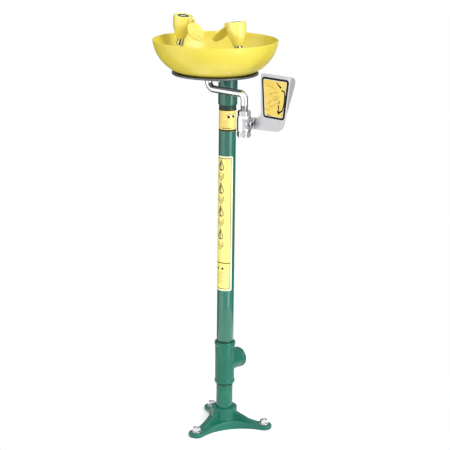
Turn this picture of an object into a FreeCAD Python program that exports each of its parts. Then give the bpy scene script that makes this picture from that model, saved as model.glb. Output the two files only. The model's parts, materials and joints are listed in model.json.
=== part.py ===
import FreeCAD, Part
import Sketcher

import math
import os
import re

# Eyewash station on a floor pedestal, in millimetres.
# The origin is on the floor, on the axis of the pedestal pipe. +X is the user's right, where the
# push handle is, +Y points away from the user, and +Z is up.
#
# Driving dimensions: name, value and meaning. Heights that end in _low, _high, _bottom or _top are
# measured from the floor.
SIZES = [
    # Pedestal
    ("pipe_r", 21.1, "outside radius of the 1-1/4 inch pedestal pipe"),
    ("pipe_bore_r", 17.5, "bore of the pedestal pipe"),
    ("bolt_circle_r", 104.6, "floor bolt circle"),
    ("lobe_r", 20, "rounded end of each flange arm"),
    ("waist_r", 40, "flange radius midway between two arms"),
    ("lobe_top", 11, "thickness of the flange at its bolts"),
    ("slope_end_r", 84, "radius where the sloping top of the flange becomes flat"),
    ("hub_r", 32.9, "flange hub"),
    ("hub_foot", 24, "height where the sloping flange meets its hub"),
    ("hub_top", 53, "top of the flange hub"),
    ("socket_floor", 13, "bottom of the pipe socket in the hub"),
    ("rib_top", 40, "height of a rib at the hub"),
    ("rib_width", 9, "thickness of a rib"),
    ("bolt_hole_r", 6.75, "floor bolt hole"),
    ("washer_r", 12, "anchor washer"),
    ("washer_thick", 2.5, "anchor washer"),
    ("anchor_flats", 18, "anchor nut across flats"),
    ("anchor_nut_tall", 10, "anchor nut"),
    ("anchor_bore_r", 6.4, "bore of the anchor nut"),
    ("tee_low", 118, "lower end of the waste tee"),
    ("tee_high", 228, "upper end of the waste tee"),
    ("tee_r", 25, "waste tee body"),
    ("tee_band_r", 26.2, "banded ends of the waste tee"),
    ("tee_band", 9, "length of a banded end"),
    ("tee_axis", 171, "height of the branch axis"),
    ("tee_reach", 55, "face of the branch from the pipe axis"),
    ("tee_socket", 22, "depth of each threaded socket"),
    ("pole_top", 868, "top of the pedestal pipe"),
    ("coupling_low", 838, "lower end of the upper coupling"),
    ("coupling_high", 909, "upper end of the upper coupling"),
    ("coupling_r", 23.5, "upper coupling"),
    # Labels on the pipe
    ("label_thick", 0.4, "thickness of both labels"),
    ("long_label_low", 366.9, "lower edge of the long label"),
    ("long_label_high", 712, "upper edge of the long label"),
    ("long_label_half", 85, "half the angle that the long label covers"),
    ("short_label_low", 773.8, "lower edge of the short label"),
    ("short_label_high", 827.9, "upper edge of the short label"),
    ("short_label_half", 120, "half the angle that the short label covers"),
    ("short_label_turn", 30, "turn of the short label's middle from the front towards +X"),
    # Bowl, its dish and bracket
    ("bowl_y", -46.4, "bowl centre"),
    ("bowl_low", 920.5, "underside of the bowl"),
    ("bowl_wall", 3, "bowl wall"),
    ("bowl_foot_r", 82, "flat bottom of the bowl"),
    ("bowl_side_r", 92, "radius of the curved side in section"),
    ("bowl_shoulder_r", 149.8, "bowl radius where the curved side ends"),
    ("bowl_shoulder", 993.5, "height where the curved side ends"),
    ("bowl_rim_r", 151.5, "outer radius below the rim's rounding"),
    ("bowl_rim", 999.3, "height below the rim's rounding"),
    ("dish_r", 104.7, "support dish"),
    ("dish_thick", 2, "sheet metal of the support dish"),
    ("dish_flat_r", 45, "flat bottom of the support dish"),
    ("dish_low", 907, "underside of the support dish"),
    ("bead_r", 2.6, "rolled edge of the support dish"),
    ("bead_level", 920.5, "centre of the rolled edge"),
    ("boss_clear_r", 27.3, "hole in the dish for the bracket's drain boss"),
    ("bracket_drain_r", 27, "drain boss of the bracket"),
    ("bracket_supply_r", 14.8, "supply boss of the bracket"),
    ("bracket_half_width", 16, "half the width of the bracket's web"),
    ("spigot_low", 876, "lower end of the bracket's spigot"),
    ("bracket_ledge", 905, "ledge that the drain's tail stops above"),
    ("tail_r", 18.5, "drain tail"),
    ("bolt_y", -35, "bracket bolt"),
    ("bolt_r", 2.5, "bracket bolt"),
    ("cap_nut_flats", 9, "cap nut of the bracket bolt across flats"),
    ("cap_nut_tall", 11, "cap nut of the bracket bolt"),
    # Drain
    ("gasket_thick", 1.5, "drain and supply gaskets"),
    ("drain_flange_r", 27, "drain flange"),
    ("drain_flange_thick", 3, "drain flange"),
    ("drain_bore_r", 15, "bore of the drain"),
    ("drain_bar_half", 3, "half the width of the bar across the drain"),
    ("drain_bar_low", 916, "underside of the bar across the drain"),
    ("drain_bar_high", 922, "top of the bar across the drain"),
    ("strainer_r", 24, "strainer"),
    ("strainer_thick", 1.2, "strainer"),
    ("strainer_hole_r", 2.2, "strainer hole"),
    ("strainer_outer_circle", 14, "outer ring of strainer holes"),
    ("strainer_inner_circle", 8, "inner ring of strainer holes"),
    ("screw_r", 1.8, "strainer screw"),
    ("screw_head_r", 3.5, "strainer screw head"),
    # Supply tube
    ("supply_y", -69.5, "plane of the supply tube, the valve and the spray heads"),
    ("tube_r", 8.7, "outside radius of the 3/8 inch supply tube"),
    ("tube_bore_r", 6.5, "bore of the supply tube"),
    ("tube_axis", 886, "height of the level run of the supply tube"),
    ("tube_bend", 28, "centreline radius of the supply tube's bend above the valve"),
    ("elbow_bend", 18, "centreline radius of the supply tube's bend under the dish"),
    ("tube_top", 940, "upper end of the supply tube"),
    ("tube_end", 833, "lower end of the supply tube"),
    ("tube_clear_r", 9.7, "holes that the supply tube passes through"),
    ("tape_r", 8.6, "thread tape"),
    ("thread_r", 8.1, "root radius of the tube's thread"),
    ("tape_high", 859.5, "upper end of the thread tape"),
    ("locknut_flats", 30, "supply locknut across flats"),
    ("locknut_tall", 6, "supply locknut"),
    # Spray yoke and heads
    ("yoke_block_r", 15, "middle block of the yoke"),
    ("yoke_top", 962, "top of the middle block"),
    ("yoke_axis", 951, "height of the yoke's level run"),
    ("yoke_bend", 22, "centreline radius of the yoke's bends"),
    ("yoke_r", 8, "yoke tube"),
    ("yoke_bore_r", 6.2, "bore of the yoke tube"),
    ("head_x", 92, "foot of a spray head from the middle"),
    ("head_foot", 997, "height of the foot of a spray head"),
    ("head_tilt", 8, "inward tilt of a spray head in degrees"),
    ("stub", 12, "length of yoke tube inside a spray head"),
    ("collar_r", 9.9, "chrome collar under a spray head"),
    ("collar_tall", 16, "chrome collar under a spray head"),
    ("collar_groove", 0.8, "depth of the grooves in the collar"),
    ("head_foot_r", 11.8, "spray head at its foot"),
    ("head_neck_r", 13.2, "spray head above its foot"),
    ("head_neck", 5, "height of the neck above the foot"),
    ("head_side_r", 75, "radius of the head's curved side in section"),
    ("head_shoulder_r", 23.1, "head radius where the curved side ends"),
    ("head_shoulder", 36, "height of the shoulder above the foot"),
    ("head_r", 23.5, "spray head at its top"),
    ("head_tall", 56, "height of a spray head"),
    ("head_dish", 1.4, "depth of the dished top"),
    ("insert_r", 12.5, "outlet insert"),
    ("insert_floor", 38, "bottom of the outlet insert above the foot"),
    ("insert_well_r", 10, "well in the top of the outlet insert"),
    ("insert_well", 1.5, "depth of the well in the outlet insert"),
    ("flow_thick", 4, "flow control disc"),
    # Dust covers
    ("hinge_reach", 29.5, "hinge from the axis of its spray head"),
    ("hinge_up", 52.5, "hinge above the foot of its spray head"),
    ("knuckle_r", 3, "hinge knuckle"),
    ("lug_half", 3, "half the width of the head's hinge lug"),
    ("ear_gap", 0.4, "gap between the lug and each ear"),
    ("ear_wide", 3, "width of each ear"),
    ("pin_r", 1.2, "hinge pin"),
    ("pin_play", 0.05, "radial clearance on the hinge pin"),
    ("cover_r", 24.6, "dust cover"),
    ("cover_wall", 1.5, "skirt of the dust cover"),
    ("cover_skirt_low", 3.9, "lower edge of the skirt above the hinge, cover closed"),
    ("cover_low", 5.2, "underside of the cover above the hinge, cover closed"),
    ("cover_high", 7.2, "top of the cover above the hinge, cover closed"),
    ("left_open", 228, "opening angle of the left cover in degrees"),
    ("right_open", 220, "opening angle of the right cover in degrees"),
    # Ball valve
    ("valve_x", 114, "valve axis"),
    ("valve_low", 784, "lower end of the valve"),
    ("valve_joint", 796, "joint of valve body and end piece"),
    ("valve_high", 847.5, "upper end of the valve"),
    ("valve_collar", 836, "lower edge of the hexagonal collar"),
    ("valve_r", 17, "barrel of the valve body"),
    ("collar_flats", 28, "hexagonal collar across flats"),
    ("end_flats", 30, "end piece across flats"),
    ("spigot_r", 13, "threaded spigot of the end piece"),
    ("spigot_top", 806, "top of the end piece's spigot"),
    ("inlet_r", 10.65, "thread of the 1/2 inch supply inlet"),
    ("inlet_depth", 14, "depth of the supply inlet's thread"),
    ("chamber_r", 12, "ball chamber"),
    ("chamber_top", 830, "top of the ball chamber"),
    ("stem_z", 818, "height of the stem axis"),
    ("ball_r", 11, "valve ball"),
    ("ball_bore_r", 6.5, "bore of the valve ball"),
    ("seat_r", 8, "bore of a valve seat"),
    ("seat_thick", 4.1, "valve seat"),
    ("boss_r", 9.5, "stem boss"),
    ("boss_reach", 17.6, "end of the stem boss from the valve axis"),
    ("stem_r", 4, "valve stem"),
    ("stem_play", 0.05, "radial clearance on the stem"),
    ("stem_reach", 26.5, "end of the stem from the valve axis"),
    ("stem_foot", 11.2, "start of the round stem from the valve axis"),
    ("tang_foot", 8.6, "start of the tang from the valve axis"),
    ("tang_half_wide", 3.4, "half the width of the tang"),
    ("tang_half_thick", 1.5, "half the thickness of the tang"),
    ("slot_play", 0.1, "clearance of the tang in the ball's slot"),
    ("gland_r", 6.5, "gland and stem seal"),
    ("seal_foot", 13.4, "start of the stem seal from the valve axis"),
    ("gland_foot", 15.8, "start of the gland from the valve axis"),
    ("gland_reach", 18, "end of the gland from the valve axis"),
    # Push handle
    ("sheet_thick", 2, "sheet metal of the handle"),
    ("tab_x", 132.3, "back of the handle's tab"),
    ("tab_y", -82, "free edge of the handle's tab"),
    ("flag_y", -59, "front face of the flag"),
    ("arm_low", 803, "lower edge of the arm at the tab"),
    ("arm_high", 832, "upper edge of the arm"),
    ("flag_top", 939.5, "top of the flag"),
    ("bend_low_x", 225.5, "edge bend at the height of the arm's lower edge"),
    ("bend_high_x", 243, "edge bend at the top of the flag"),
    ("edge_run", 8, "reach of the bent-back edge, to the right and back alike"),
    ("corner_r", 8, "rounded corners of the flag"),
    ("flag_left_top", 153.5, "left edge of the flag at its top"),
    ("flag_left_low", 157, "left edge of the flag above the arm"),
    ("arm_fillet", 17, "fillet between the flag and the arm"),
    ("heel_x", 182, "start of the flag's lower curve"),
    ("heel_z", 807.5, "start of the flag's lower curve"),
    ("heel_r", 56, "flag's lower curve"),
    ("heel_end_x", 229, "end of the flag's lower curve"),
    ("heel_end_z", 836.5, "end of the flag's lower curve"),
    ("flag_right_top", 250, "right edge of the flag below its top corner"),
    ("tab_round", 9, "rounded corners of the tab"),
    ("sign_thick", 0.6, "sign on the flag"),
    ("sign_top", 932.3, "upper edge of the sign"),
    ("sign_low", 837, "lower edge of the sign"),
    ("sign_left_top", 157.6, "upper left corner of the sign"),
    ("sign_right_top", 239.8, "upper right corner of the sign"),
    ("sign_left_low", 164.6, "lower left corner of the sign"),
    ("sign_right_low", 227, "lower right corner of the sign"),
    ("sign_round", 5, "rounded corners of the sign"),
    ("lock_washer_r", 7.5, "lock washer"),
    ("lock_washer_thick", 1.2, "lock washer"),
    ("handle_nut_flats", 13, "handle nut across flats"),
]

doc = FreeCAD.newDocument("EyewashStation")
sheet = doc.addObject("Spreadsheet::Sheet", "Sizes")
NAMES = re.compile(r"\b(%s)\b" % "|".join(name for name, size, meaning in SIZES))
UP = FreeCAD.Vector(0, 0, 1)
ALONG_X = FreeCAD.Vector(1, 0, 0)
ALONG_Y = FreeCAD.Vector(0, 1, 0)
SIDES = (("left", -1), ("right", 1))
HEX_CORNER = 2 / math.sqrt(3)
pieces = []


# The sheet and formulas

def fill_sheet():
    """Write every driving dimension into the sheet, one row each, and give its cell an alias."""
    for row, (name, size, meaning) in enumerate(SIZES, start=1):
        sheet.set("A%d" % row, meaning)
        sheet.set("B%d" % row, str(size))
        sheet.setAlias("B%d" % row, name)
    doc.recompute()


def bound(formula):
    """Turn the names in a formula into references to the sheet's cells."""
    return NAMES.sub(r"Sizes.\1", formula)


def number(thing, formula):
    """Work out a formula's present value."""
    return float(thing.evalExpression(bound(formula)))


# Bodies, sketches and features

def new_body(name):
    """Start a sub-part: its label names its file."""
    body = doc.addObject("PartDesign::Body", name)
    body.Label = name
    pieces.append(body)
    return body


def place(piece, x="0", y="0", z="0", axis=UP, angle=None):
    """Bind a sub-part's placement to the sheet."""
    if angle is not None:
        piece.Placement.Rotation = FreeCAD.Rotation(axis, number(piece, angle))
        piece.setExpression("Placement.Rotation.Angle", bound(angle))
    for letter, formula in zip("xyz", (x, y, z)):
        piece.setExpression("Placement.Base." + letter, bound(formula))


def origin_part(body, role):
    """Find one of a body's own origin planes or axes."""
    return next(part for part in body.Origin.OriginFeatures if part.Role == role)


def hold(sketch, kind, *where, formula):
    """Add one dimension to a sketch and bind it to the sheet."""
    index = sketch.addConstraint(Sketcher.Constraint(kind, *where, number(sketch, formula)))
    sketch.setExpression("Constraints[%d]" % index, bound(formula))


def add_circle(sketch, x, y, radius):
    """Draw a circle whose centre and radius are bound to the sheet."""
    centre = FreeCAD.Vector(number(sketch, x), number(sketch, y), 0)
    index = sketch.addGeometry(Part.Circle(centre, UP, number(sketch, radius)), False)
    hold(sketch, "DistanceX", -1, 1, index, 3, formula=x)
    hold(sketch, "DistanceY", -1, 1, index, 3, formula=y)
    hold(sketch, "Radius", index, formula=radius)


def arc_between(start, end, radius, turn):
    """Make the arc from start to end that turns left (turn 1) or right (turn -1)."""
    chord = end - start
    across = FreeCAD.Vector(-chord.y, chord.x, 0).normalize() * turn
    height = math.sqrt(max(radius ** 2 - chord.Length ** 2 / 4, 0))
    centre = (start + end) * 0.5 + across * height
    first, last = (start, end) if turn > 0 else (end, start)
    angles = [math.atan2(p.y - centre.y, p.x - centre.x) for p in (first, last)]
    return Part.ArcOfCircle(Part.Circle(centre, UP, radius), *angles)


def add_outline(sketch, corners, closed=True):
    """Draw lines and arcs from corner to corner, each corner bound to the sheet.

    A corner is (x, y), or (x, y, radius, turn) where an arc leads from it to the next one.
    """
    points = [FreeCAD.Vector(number(sketch, c[0]), number(sketch, c[1]), 0) for c in corners]
    count = len(corners) if closed else len(corners) - 1
    ends = []
    for index in range(count):
        start, end = points[index], points[(index + 1) % len(points)]
        if len(corners[index]) == 2:
            edge = sketch.addGeometry(Part.LineSegment(start, end), False)
            ends.append((edge, 1, 2))
        else:
            radius, turn = corners[index][2:]
            arc = arc_between(start, end, number(sketch, radius), turn)
            edge = sketch.addGeometry(arc, False)
            ends.append((edge, 1, 2) if turn > 0 else (edge, 2, 1))
            hold(sketch, "Radius", edge, formula=radius)
    for index, (edge, first, last) in enumerate(ends):
        hold(sketch, "DistanceX", -1, 1, edge, first, formula=corners[index][0])
        hold(sketch, "DistanceY", -1, 1, edge, first, formula=corners[index][1])
        if closed or index < count - 1:
            following = ends[(index + 1) % count]
            sketch.addConstraint(Sketcher.Constraint("Coincident", edge, last, following[0], following[1]))
        else:
            hold(sketch, "DistanceX", -1, 1, edge, last, formula=corners[-1][0])
            hold(sketch, "DistanceY", -1, 1, edge, last, formula=corners[-1][1])


def draw(body, name, plane="XY_Plane", level="0", outlines=(), circles=(), path=None):
    """Make a sketch on one of the body's origin planes, raised by level along the plane's normal."""
    sketch = body.newObject("Sketcher::SketchObject", name)
    sketch.AttachmentSupport = (origin_part(body, plane), [""])
    sketch.MapMode = "FlatFace"
    sketch.setExpression("AttachmentOffset.Base.z", bound(level))
    for outline in outlines:
        add_outline(sketch, outline)
    for circle in circles:
        add_circle(sketch, *circle)
    if path:
        add_outline(sketch, path, closed=False)
    return sketch


def pad(body, name, low, high, plane="XY_Plane", **shapes):
    """Extrude a sketch from low to high along its plane's normal."""
    feature_sketch = draw(body, name + "_sketch", plane, low, **shapes)
    feature = body.newObject("PartDesign::Pad", name)
    feature.Profile = feature_sketch
    feature.setExpression("Length", bound("(%s) - (%s)" % (high, low)))
    return feature


def cut(body, name, low, high, plane="XY_Plane", **shapes):
    """Cut a sketch's shape away between low and high, and make sure that it removed something."""
    doc.recompute()
    before = body.Shape.Volume
    feature_sketch = draw(body, name + "_sketch", plane, high, **shapes)
    feature = body.newObject("PartDesign::Pocket", name)
    feature.Profile = feature_sketch
    feature.setExpression("Length", bound("(%s) - (%s)" % (high, low)))
    doc.recompute()
    if body.Shape.Volume > before - 0.01:
        raise RuntimeError("%s of %s cuts nothing" % (name, body.Label))
    return feature


def revolve(body, name, kind="PartDesign::Revolution", **shapes):
    """Turn a sketch in the body's XZ plane about its Z axis."""
    feature_sketch = draw(body, name + "_sketch", "XZ_Plane", **shapes)
    feature = body.newObject(kind, name)
    feature.Profile = feature_sketch
    feature.ReferenceAxis = (origin_part(body, "Z_Axis"), [""])
    feature.Angle = 360
    return feature


def groove(body, name, **shapes):
    """Cut a turned shape away, and make sure that it removed something."""
    doc.recompute()
    before = body.Shape.Volume
    feature = revolve(body, name, "PartDesign::Groove", **shapes)
    doc.recompute()
    if body.Shape.Volume > before - 0.01:
        raise RuntimeError("%s of %s cuts nothing" % (name, body.Label))
    return feature


def repeat_round(body, feature, count):
    """Repeat a feature evenly about the body's Z axis."""
    pattern = body.newObject("PartDesign::PolarPattern", feature.Name + "_pattern")
    pattern.Originals = [feature]
    pattern.Axis = (origin_part(body, "Z_Axis"), [""])
    pattern.Angle = 360
    pattern.Occurrences = count
    body.Tip = pattern
    return pattern


def mirror_x(body, feature):
    """Repeat a feature on the other side of the body's YZ plane."""
    mirrored = body.newObject("PartDesign::Mirrored", feature.Name + "_mirrored")
    mirrored.Originals = [feature]
    mirrored.MirrorPlane = (origin_part(body, "YZ_Plane"), [""])
    body.Tip = mirrored
    return mirrored


def sweep(body, name, kind, path, **profile):
    """Sweep a profile along a path in the body's XZ plane."""
    path_sketch = draw(body, name + "_path", "XZ_Plane", path=path)
    profile_sketch = draw(body, name + "_profile", **profile)
    doc.recompute()
    feature = body.newObject(kind, name)
    feature.Profile = profile_sketch
    feature.Spine = (path_sketch, ["Edge%d" % (index + 1) for index in range(len(path) - 1)])
    return feature


def dress(body, name, kind, amount, wanted):
    """Fillet or chamfer the edges that a test picks out."""
    doc.recompute()
    base = body.Tip
    edges = ["Edge%d" % (index + 1) for index, edge in enumerate(base.Shape.Edges) if wanted(edge)]
    if not edges:
        raise RuntimeError("%s of %s finds no edges" % (name, body.Label))
    feature = body.newObject(kind, name)
    feature.Base = (base, edges)
    feature.setExpression("Size" if kind.endswith("Chamfer") else "Radius", bound(amount))
    return feature


def ring(name, outer, inner, low, high):
    """A plain ring or length of pipe about the body's Z axis."""
    body = new_body(name)
    pad(body, name + "_ring", low, high, circles=[("0", "0", outer), ("0", "0", inner)])
    return body


def hexagon(x, y, flats):
    """Corners of a hexagon with a flat side facing +Y."""
    corners = []
    for index in range(6):
        angle = math.radians(60 * index)
        reach = "(%s) / 2 * %.6f" % (flats, HEX_CORNER)
        corners.append(("%s + %s * %.6f" % (x, reach, math.cos(angle)),
                        "%s + %s * %.6f" % (y, reach, math.sin(angle))))
    return corners


def hex_nut(name, flats, bore, low, high):
    """A hexagonal nut about the body's Z axis, its upper corners bevelled."""
    body = new_body(name)
    pad(body, name + "_hexagon", low, high,
        outlines=[hexagon("0", "0", flats)], circles=[("0", "0", bore)])
    bevel_nut(body, name, flats, high)
    return body


def bevel_nut(body, name, flats, high):
    """Turn the upper corners of a hexagon off at about 30 degrees."""
    inner = "(%s) * 0.49" % flats
    outer = "(%s) * 0.6" % flats
    groove(body, name + "_bevel", outlines=[[
        (inner, high),
        (outer, high),
        (outer, "%s - (%s) * 0.065" % (high, flats)),
    ]])


# Pedestal

def flange_outline():
    """Three rounded lobes joined by concave sides, each arc tangent to the next."""
    # The concave side's centre lies on the line midway between two arms. Its distance and radius
    # follow from its closest approach, waist_r, and from touching the lobe's circle.
    offset = "(waist_r - lobe_r)"
    distance = "((bolt_circle_r^2 - %s^2) / (bolt_circle_r - 2 * %s))" % (offset, offset)
    side_r = "(%s - waist_r)" % distance
    share = "(lobe_r / (lobe_r + %s))" % side_r
    corners = []
    for arm in (-90, 30, 150):
        touch = []
        for side in (-60, 60):
            middle = math.radians(arm + side)
            centre = ("bolt_circle_r * %.6f" % math.cos(math.radians(arm)),
                      "bolt_circle_r * %.6f" % math.sin(math.radians(arm)))
            waist = ("%s * %.6f" % (distance, math.cos(middle)),
                     "%s * %.6f" % (distance, math.sin(middle)))
            touch.append(["%s + (%s - %s) * %s" % (c, w, c, share) for c, w in zip(centre, waist)])
        tip = ["(bolt_circle_r + lobe_r) * %.6f" % turn(math.radians(arm)) for turn in (math.cos, math.sin)]
        corners.append((*touch[0], "lobe_r", 1))
        corners.append((*tip, "lobe_r", 1))
        corners.append((*touch[1], side_r, -1))
    return corners


def floor_flange():
    body = new_body("floor_flange")
    pad(body, "plate", "0", "hub_foot", outlines=[flange_outline()])
    groove(body, "sloping_top", outlines=[[
        ("hub_r - 1", "hub_foot"),
        ("slope_end_r", "lobe_top"),
        ("bolt_circle_r + lobe_r + 10", "lobe_top"),
        ("bolt_circle_r + lobe_r + 10", "hub_foot + 1"),
        ("hub_r - 1", "hub_foot + 1"),
    ]])
    dress(body, "rounded_foot", "PartDesign::Fillet", "1.5", lambda edge: edge.BoundBox.ZMax < 0.01)
    pad(body, "hub", "0", "hub_top", circles=[("0", "0", "hub_r")])
    rib = pad(body, "rib", "-rib_width / 2", "rib_width / 2", plane="YZ_Plane", outlines=[[
        ("-hub_r + 2", "lobe_top / 2"),
        ("-hub_r + 2", "rib_top"),
        ("-slope_end_r", "lobe_top + 1"),
        ("-slope_end_r", "lobe_top / 2"),
    ]])
    repeat_round(body, rib, 3)
    hole = cut(body, "bolt_hole", "-1", "hub_foot", circles=[("0", "-bolt_circle_r", "bolt_hole_r")])
    repeat_round(body, hole, 3)
    cut(body, "pipe_socket", "socket_floor", "hub_top", circles=[("0", "0", "pipe_r")])
    rim_wide = 2 * sheet.pipe_r + 1
    dress(body, "hub_bevel", "PartDesign::Chamfer", "1.5",
          lambda edge: edge.BoundBox.ZMin > sheet.hub_top - 0.01 and edge.BoundBox.XLength > rim_wide)


def anchor_hardware():
    """Washers and nuts on the three lobes: each node holds three separate solids."""
    washers = new_body("anchor_washers")
    washer = pad(washers, "washer", "lobe_top", "lobe_top + washer_thick",
                 circles=[("0", "-bolt_circle_r", "washer_r"), ("0", "-bolt_circle_r", "bolt_hole_r")])
    repeat_round(washers, washer, 3)
    nuts = new_body("anchor_nuts")
    nut = pad(nuts, "nut", "lobe_top + washer_thick", "lobe_top + washer_thick + anchor_nut_tall",
              outlines=[hexagon("0", "-bolt_circle_r", "anchor_flats")],
              circles=[("0", "-bolt_circle_r", "anchor_bore_r")])
    repeat_round(nuts, nut, 3)


def waste_tee():
    """Tee whose branch points away from the user."""
    body = new_body("waste_tee")
    revolve(body, "run", outlines=[[
        ("0", "tee_low"),
        ("tee_band_r", "tee_low"),
        ("tee_band_r", "tee_low + tee_band"),
        ("tee_r", "tee_low + tee_band + 1"),
        ("tee_r", "tee_high - tee_band - 1"),
        ("tee_band_r", "tee_high - tee_band"),
        ("tee_band_r", "tee_high"),
        ("0", "tee_high"),
    ]])
    # The XZ plane's normal points to -Y, so the branch runs to a negative level.
    pad(body, "branch", "-tee_reach", "0", plane="XZ_Plane", circles=[("0", "tee_axis", "tee_r")])
    pad(body, "branch_band", "-tee_reach", "-tee_reach + tee_band", plane="XZ_Plane",
        circles=[("0", "tee_axis", "tee_band_r")])
    cut(body, "waterway", "tee_low", "tee_high", circles=[("0", "0", "pipe_bore_r")])
    cut(body, "lower_socket", "tee_low", "tee_low + tee_socket", circles=[("0", "0", "pipe_r")])
    cut(body, "upper_socket", "tee_high - tee_socket", "tee_high", circles=[("0", "0", "pipe_r")])
    cut(body, "branch_waterway", "-tee_reach", "0", plane="XZ_Plane",
        circles=[("0", "tee_axis", "pipe_bore_r")])
    cut(body, "branch_socket", "-tee_reach", "-tee_reach + tee_socket", plane="XZ_Plane",
        circles=[("0", "tee_axis", "pipe_r")])


def label(name, low, high, half_angle, turn):
    """A thin skin wrapped round the pipe, its middle facing -Y before it is turned."""
    body = new_body(name)
    inner, outer = "pipe_r", "pipe_r + label_thick"
    across = "sin(%s * 1deg)" % half_angle
    ahead = "-cos(%s * 1deg)" % half_angle
    # A skin that covers more than half a turn is drawn as two arcs a side, met at the front.
    front = [("0", "-(%s)" % outer, outer, 1), ("(%s) * %s" % (outer, across), "(%s) * %s" % (outer, ahead)),
             ("(%s) * %s" % (inner, across), "(%s) * %s" % (inner, ahead), inner, -1),
             ("0", "-(%s)" % inner, inner, -1),
             ("-(%s) * %s" % (inner, across), "(%s) * %s" % (inner, ahead)),
             ("-(%s) * %s" % (outer, across), "(%s) * %s" % (outer, ahead), outer, 1)]
    pad(body, name + "_skin", low, high, outlines=[front])
    place(body, axis=UP, angle=turn)


def pedestal():
    floor_flange()
    anchor_hardware()
    ring("lower_nipple", "pipe_r", "pipe_bore_r", "socket_floor", "tee_low + tee_socket")
    waste_tee()
    ring("pedestal_pipe", "pipe_r", "pipe_bore_r", "tee_high - tee_socket", "pole_top")
    ring("upper_coupling", "coupling_r", "pipe_r", "coupling_low", "coupling_high")
    label("instruction_label", "long_label_low", "long_label_high", "long_label_half", "0")
    label("identity_label", "short_label_low", "short_label_high", "short_label_half", "short_label_turn")


# Bowl, dish, bracket and drain

def bowl_bracket():
    """Casting that carries the dish and the bowl and leads the drain into the pedestal."""
    body = new_body("bowl_bracket")
    top = "bowl_low"
    pad(body, "drain_boss", "coupling_high", top, circles=[("0", "0", "bracket_drain_r")])
    pad(body, "supply_boss", "coupling_high", top, circles=[("0", "supply_y", "bracket_supply_r")])
    pad(body, "web", "coupling_high", top, outlines=[[
        ("-bracket_half_width", "supply_y"),
        ("bracket_half_width", "supply_y"),
        ("bracket_half_width", "0"),
        ("-bracket_half_width", "0"),
    ]])
    pad(body, "spigot", "spigot_low", "coupling_high", circles=[("0", "0", "pipe_r")])
    cut(body, "waterway", "spigot_low", "bracket_ledge", circles=[("0", "0", "pipe_bore_r")])
    cut(body, "tail_socket", "bracket_ledge", top, circles=[("0", "0", "tail_r")])
    cut(body, "supply_hole", "coupling_high", top, circles=[("0", "supply_y", "tube_clear_r")])
    cut(body, "bolt_hole", "coupling_high", top, circles=[("0", "bolt_y", "bolt_r")])


def floor_holes(body, low, high, drain_hole_r):
    """Holes through the dish or the bowl, drawn in the bowl's own frame."""
    cut(body, "drain_hole", low, high, circles=[("0", "-bowl_y", drain_hole_r)])
    cut(body, "supply_hole", low, high, circles=[("0", "supply_y - bowl_y", "tube_clear_r")])
    cut(body, "bolt_hole", low, high, circles=[("0", "bolt_y - bowl_y", "bolt_r")])


def support_dish():
    """Shallow sheet-metal cone with a rolled edge, flat in the middle."""
    body = new_body("support_dish")
    edge_r = "dish_r - bead_r"
    revolve(body, "cone", outlines=[[
        ("0", "dish_low"),
        ("dish_flat_r", "dish_low"),
        (edge_r, "bead_level - dish_thick / 2"),
        (edge_r, "bead_level + dish_thick / 2"),
        ("dish_flat_r", "dish_low + dish_thick"),
        ("0", "dish_low + dish_thick"),
    ]])
    revolve(body, "rolled_edge", circles=[(edge_r, "bead_level", "bead_r")])
    floor_holes(body, "dish_low", "bead_level", "boss_clear_r")
    place(body, y="bowl_y")


def bowl():
    """Shallow bowl: a flat bottom, a round side and a nearly upright rim."""
    body = new_body("bowl")
    inner_shoulder_r = "bowl_shoulder_r - bowl_wall"
    revolve(body, "shell", outlines=[[
        ("0", "bowl_low"),
        ("bowl_foot_r", "bowl_low", "bowl_side_r", 1),
        ("bowl_shoulder_r", "bowl_shoulder"),
        ("bowl_rim_r", "bowl_rim", "bowl_wall / 2 + 0.05", 1),
        ("bowl_rim_r - bowl_wall", "bowl_rim"),
        (inner_shoulder_r, "bowl_shoulder + 0.4", "bowl_side_r - bowl_wall", -1),
        ("bowl_foot_r - 0.8", "bowl_low + bowl_wall"),
        ("0", "bowl_low + bowl_wall"),
    ]])
    floor_holes(body, "bowl_low", "bowl_low + bowl_wall", "tail_r")
    place(body, y="bowl_y")


def bracket_fastener():
    """One bolt from inside the bowl, with a domed cap nut under the dish."""
    floor_top = "bowl_low + bowl_wall"
    bolt = new_body("bracket_bolt")
    pad(bolt, "shank", "dish_low - cap_nut_tall + 4", floor_top, circles=[("0", "0", "bolt_r")])
    head_r = "cap_nut_flats / 2 + 0.5"
    revolve(bolt, "head", outlines=[[
        ("0", floor_top),
        (head_r, floor_top),
        (head_r, floor_top + " + 1.5"),
        ("bolt_r", floor_top + " + 3"),
        ("0", floor_top + " + 3"),
    ]])
    place(bolt, y="bolt_y")
    nut = new_body("bracket_cap_nut")
    pad(nut, "hexagon", "dish_low - 6", "dish_low", outlines=[hexagon("0", "0", "cap_nut_flats")])
    revolve(nut, "dome", outlines=[[
        ("0", "dish_low - cap_nut_tall"),
        ("cap_nut_flats * 0.3", "dish_low - cap_nut_tall + 1"),
        ("cap_nut_flats * 0.45", "dish_low - 6"),
        ("0", "dish_low - 6"),
    ]])
    cut(nut, "thread", "dish_low - cap_nut_tall + 4", "dish_low", circles=[("0", "0", "bolt_r")])
    place(nut, y="bolt_y")


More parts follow.
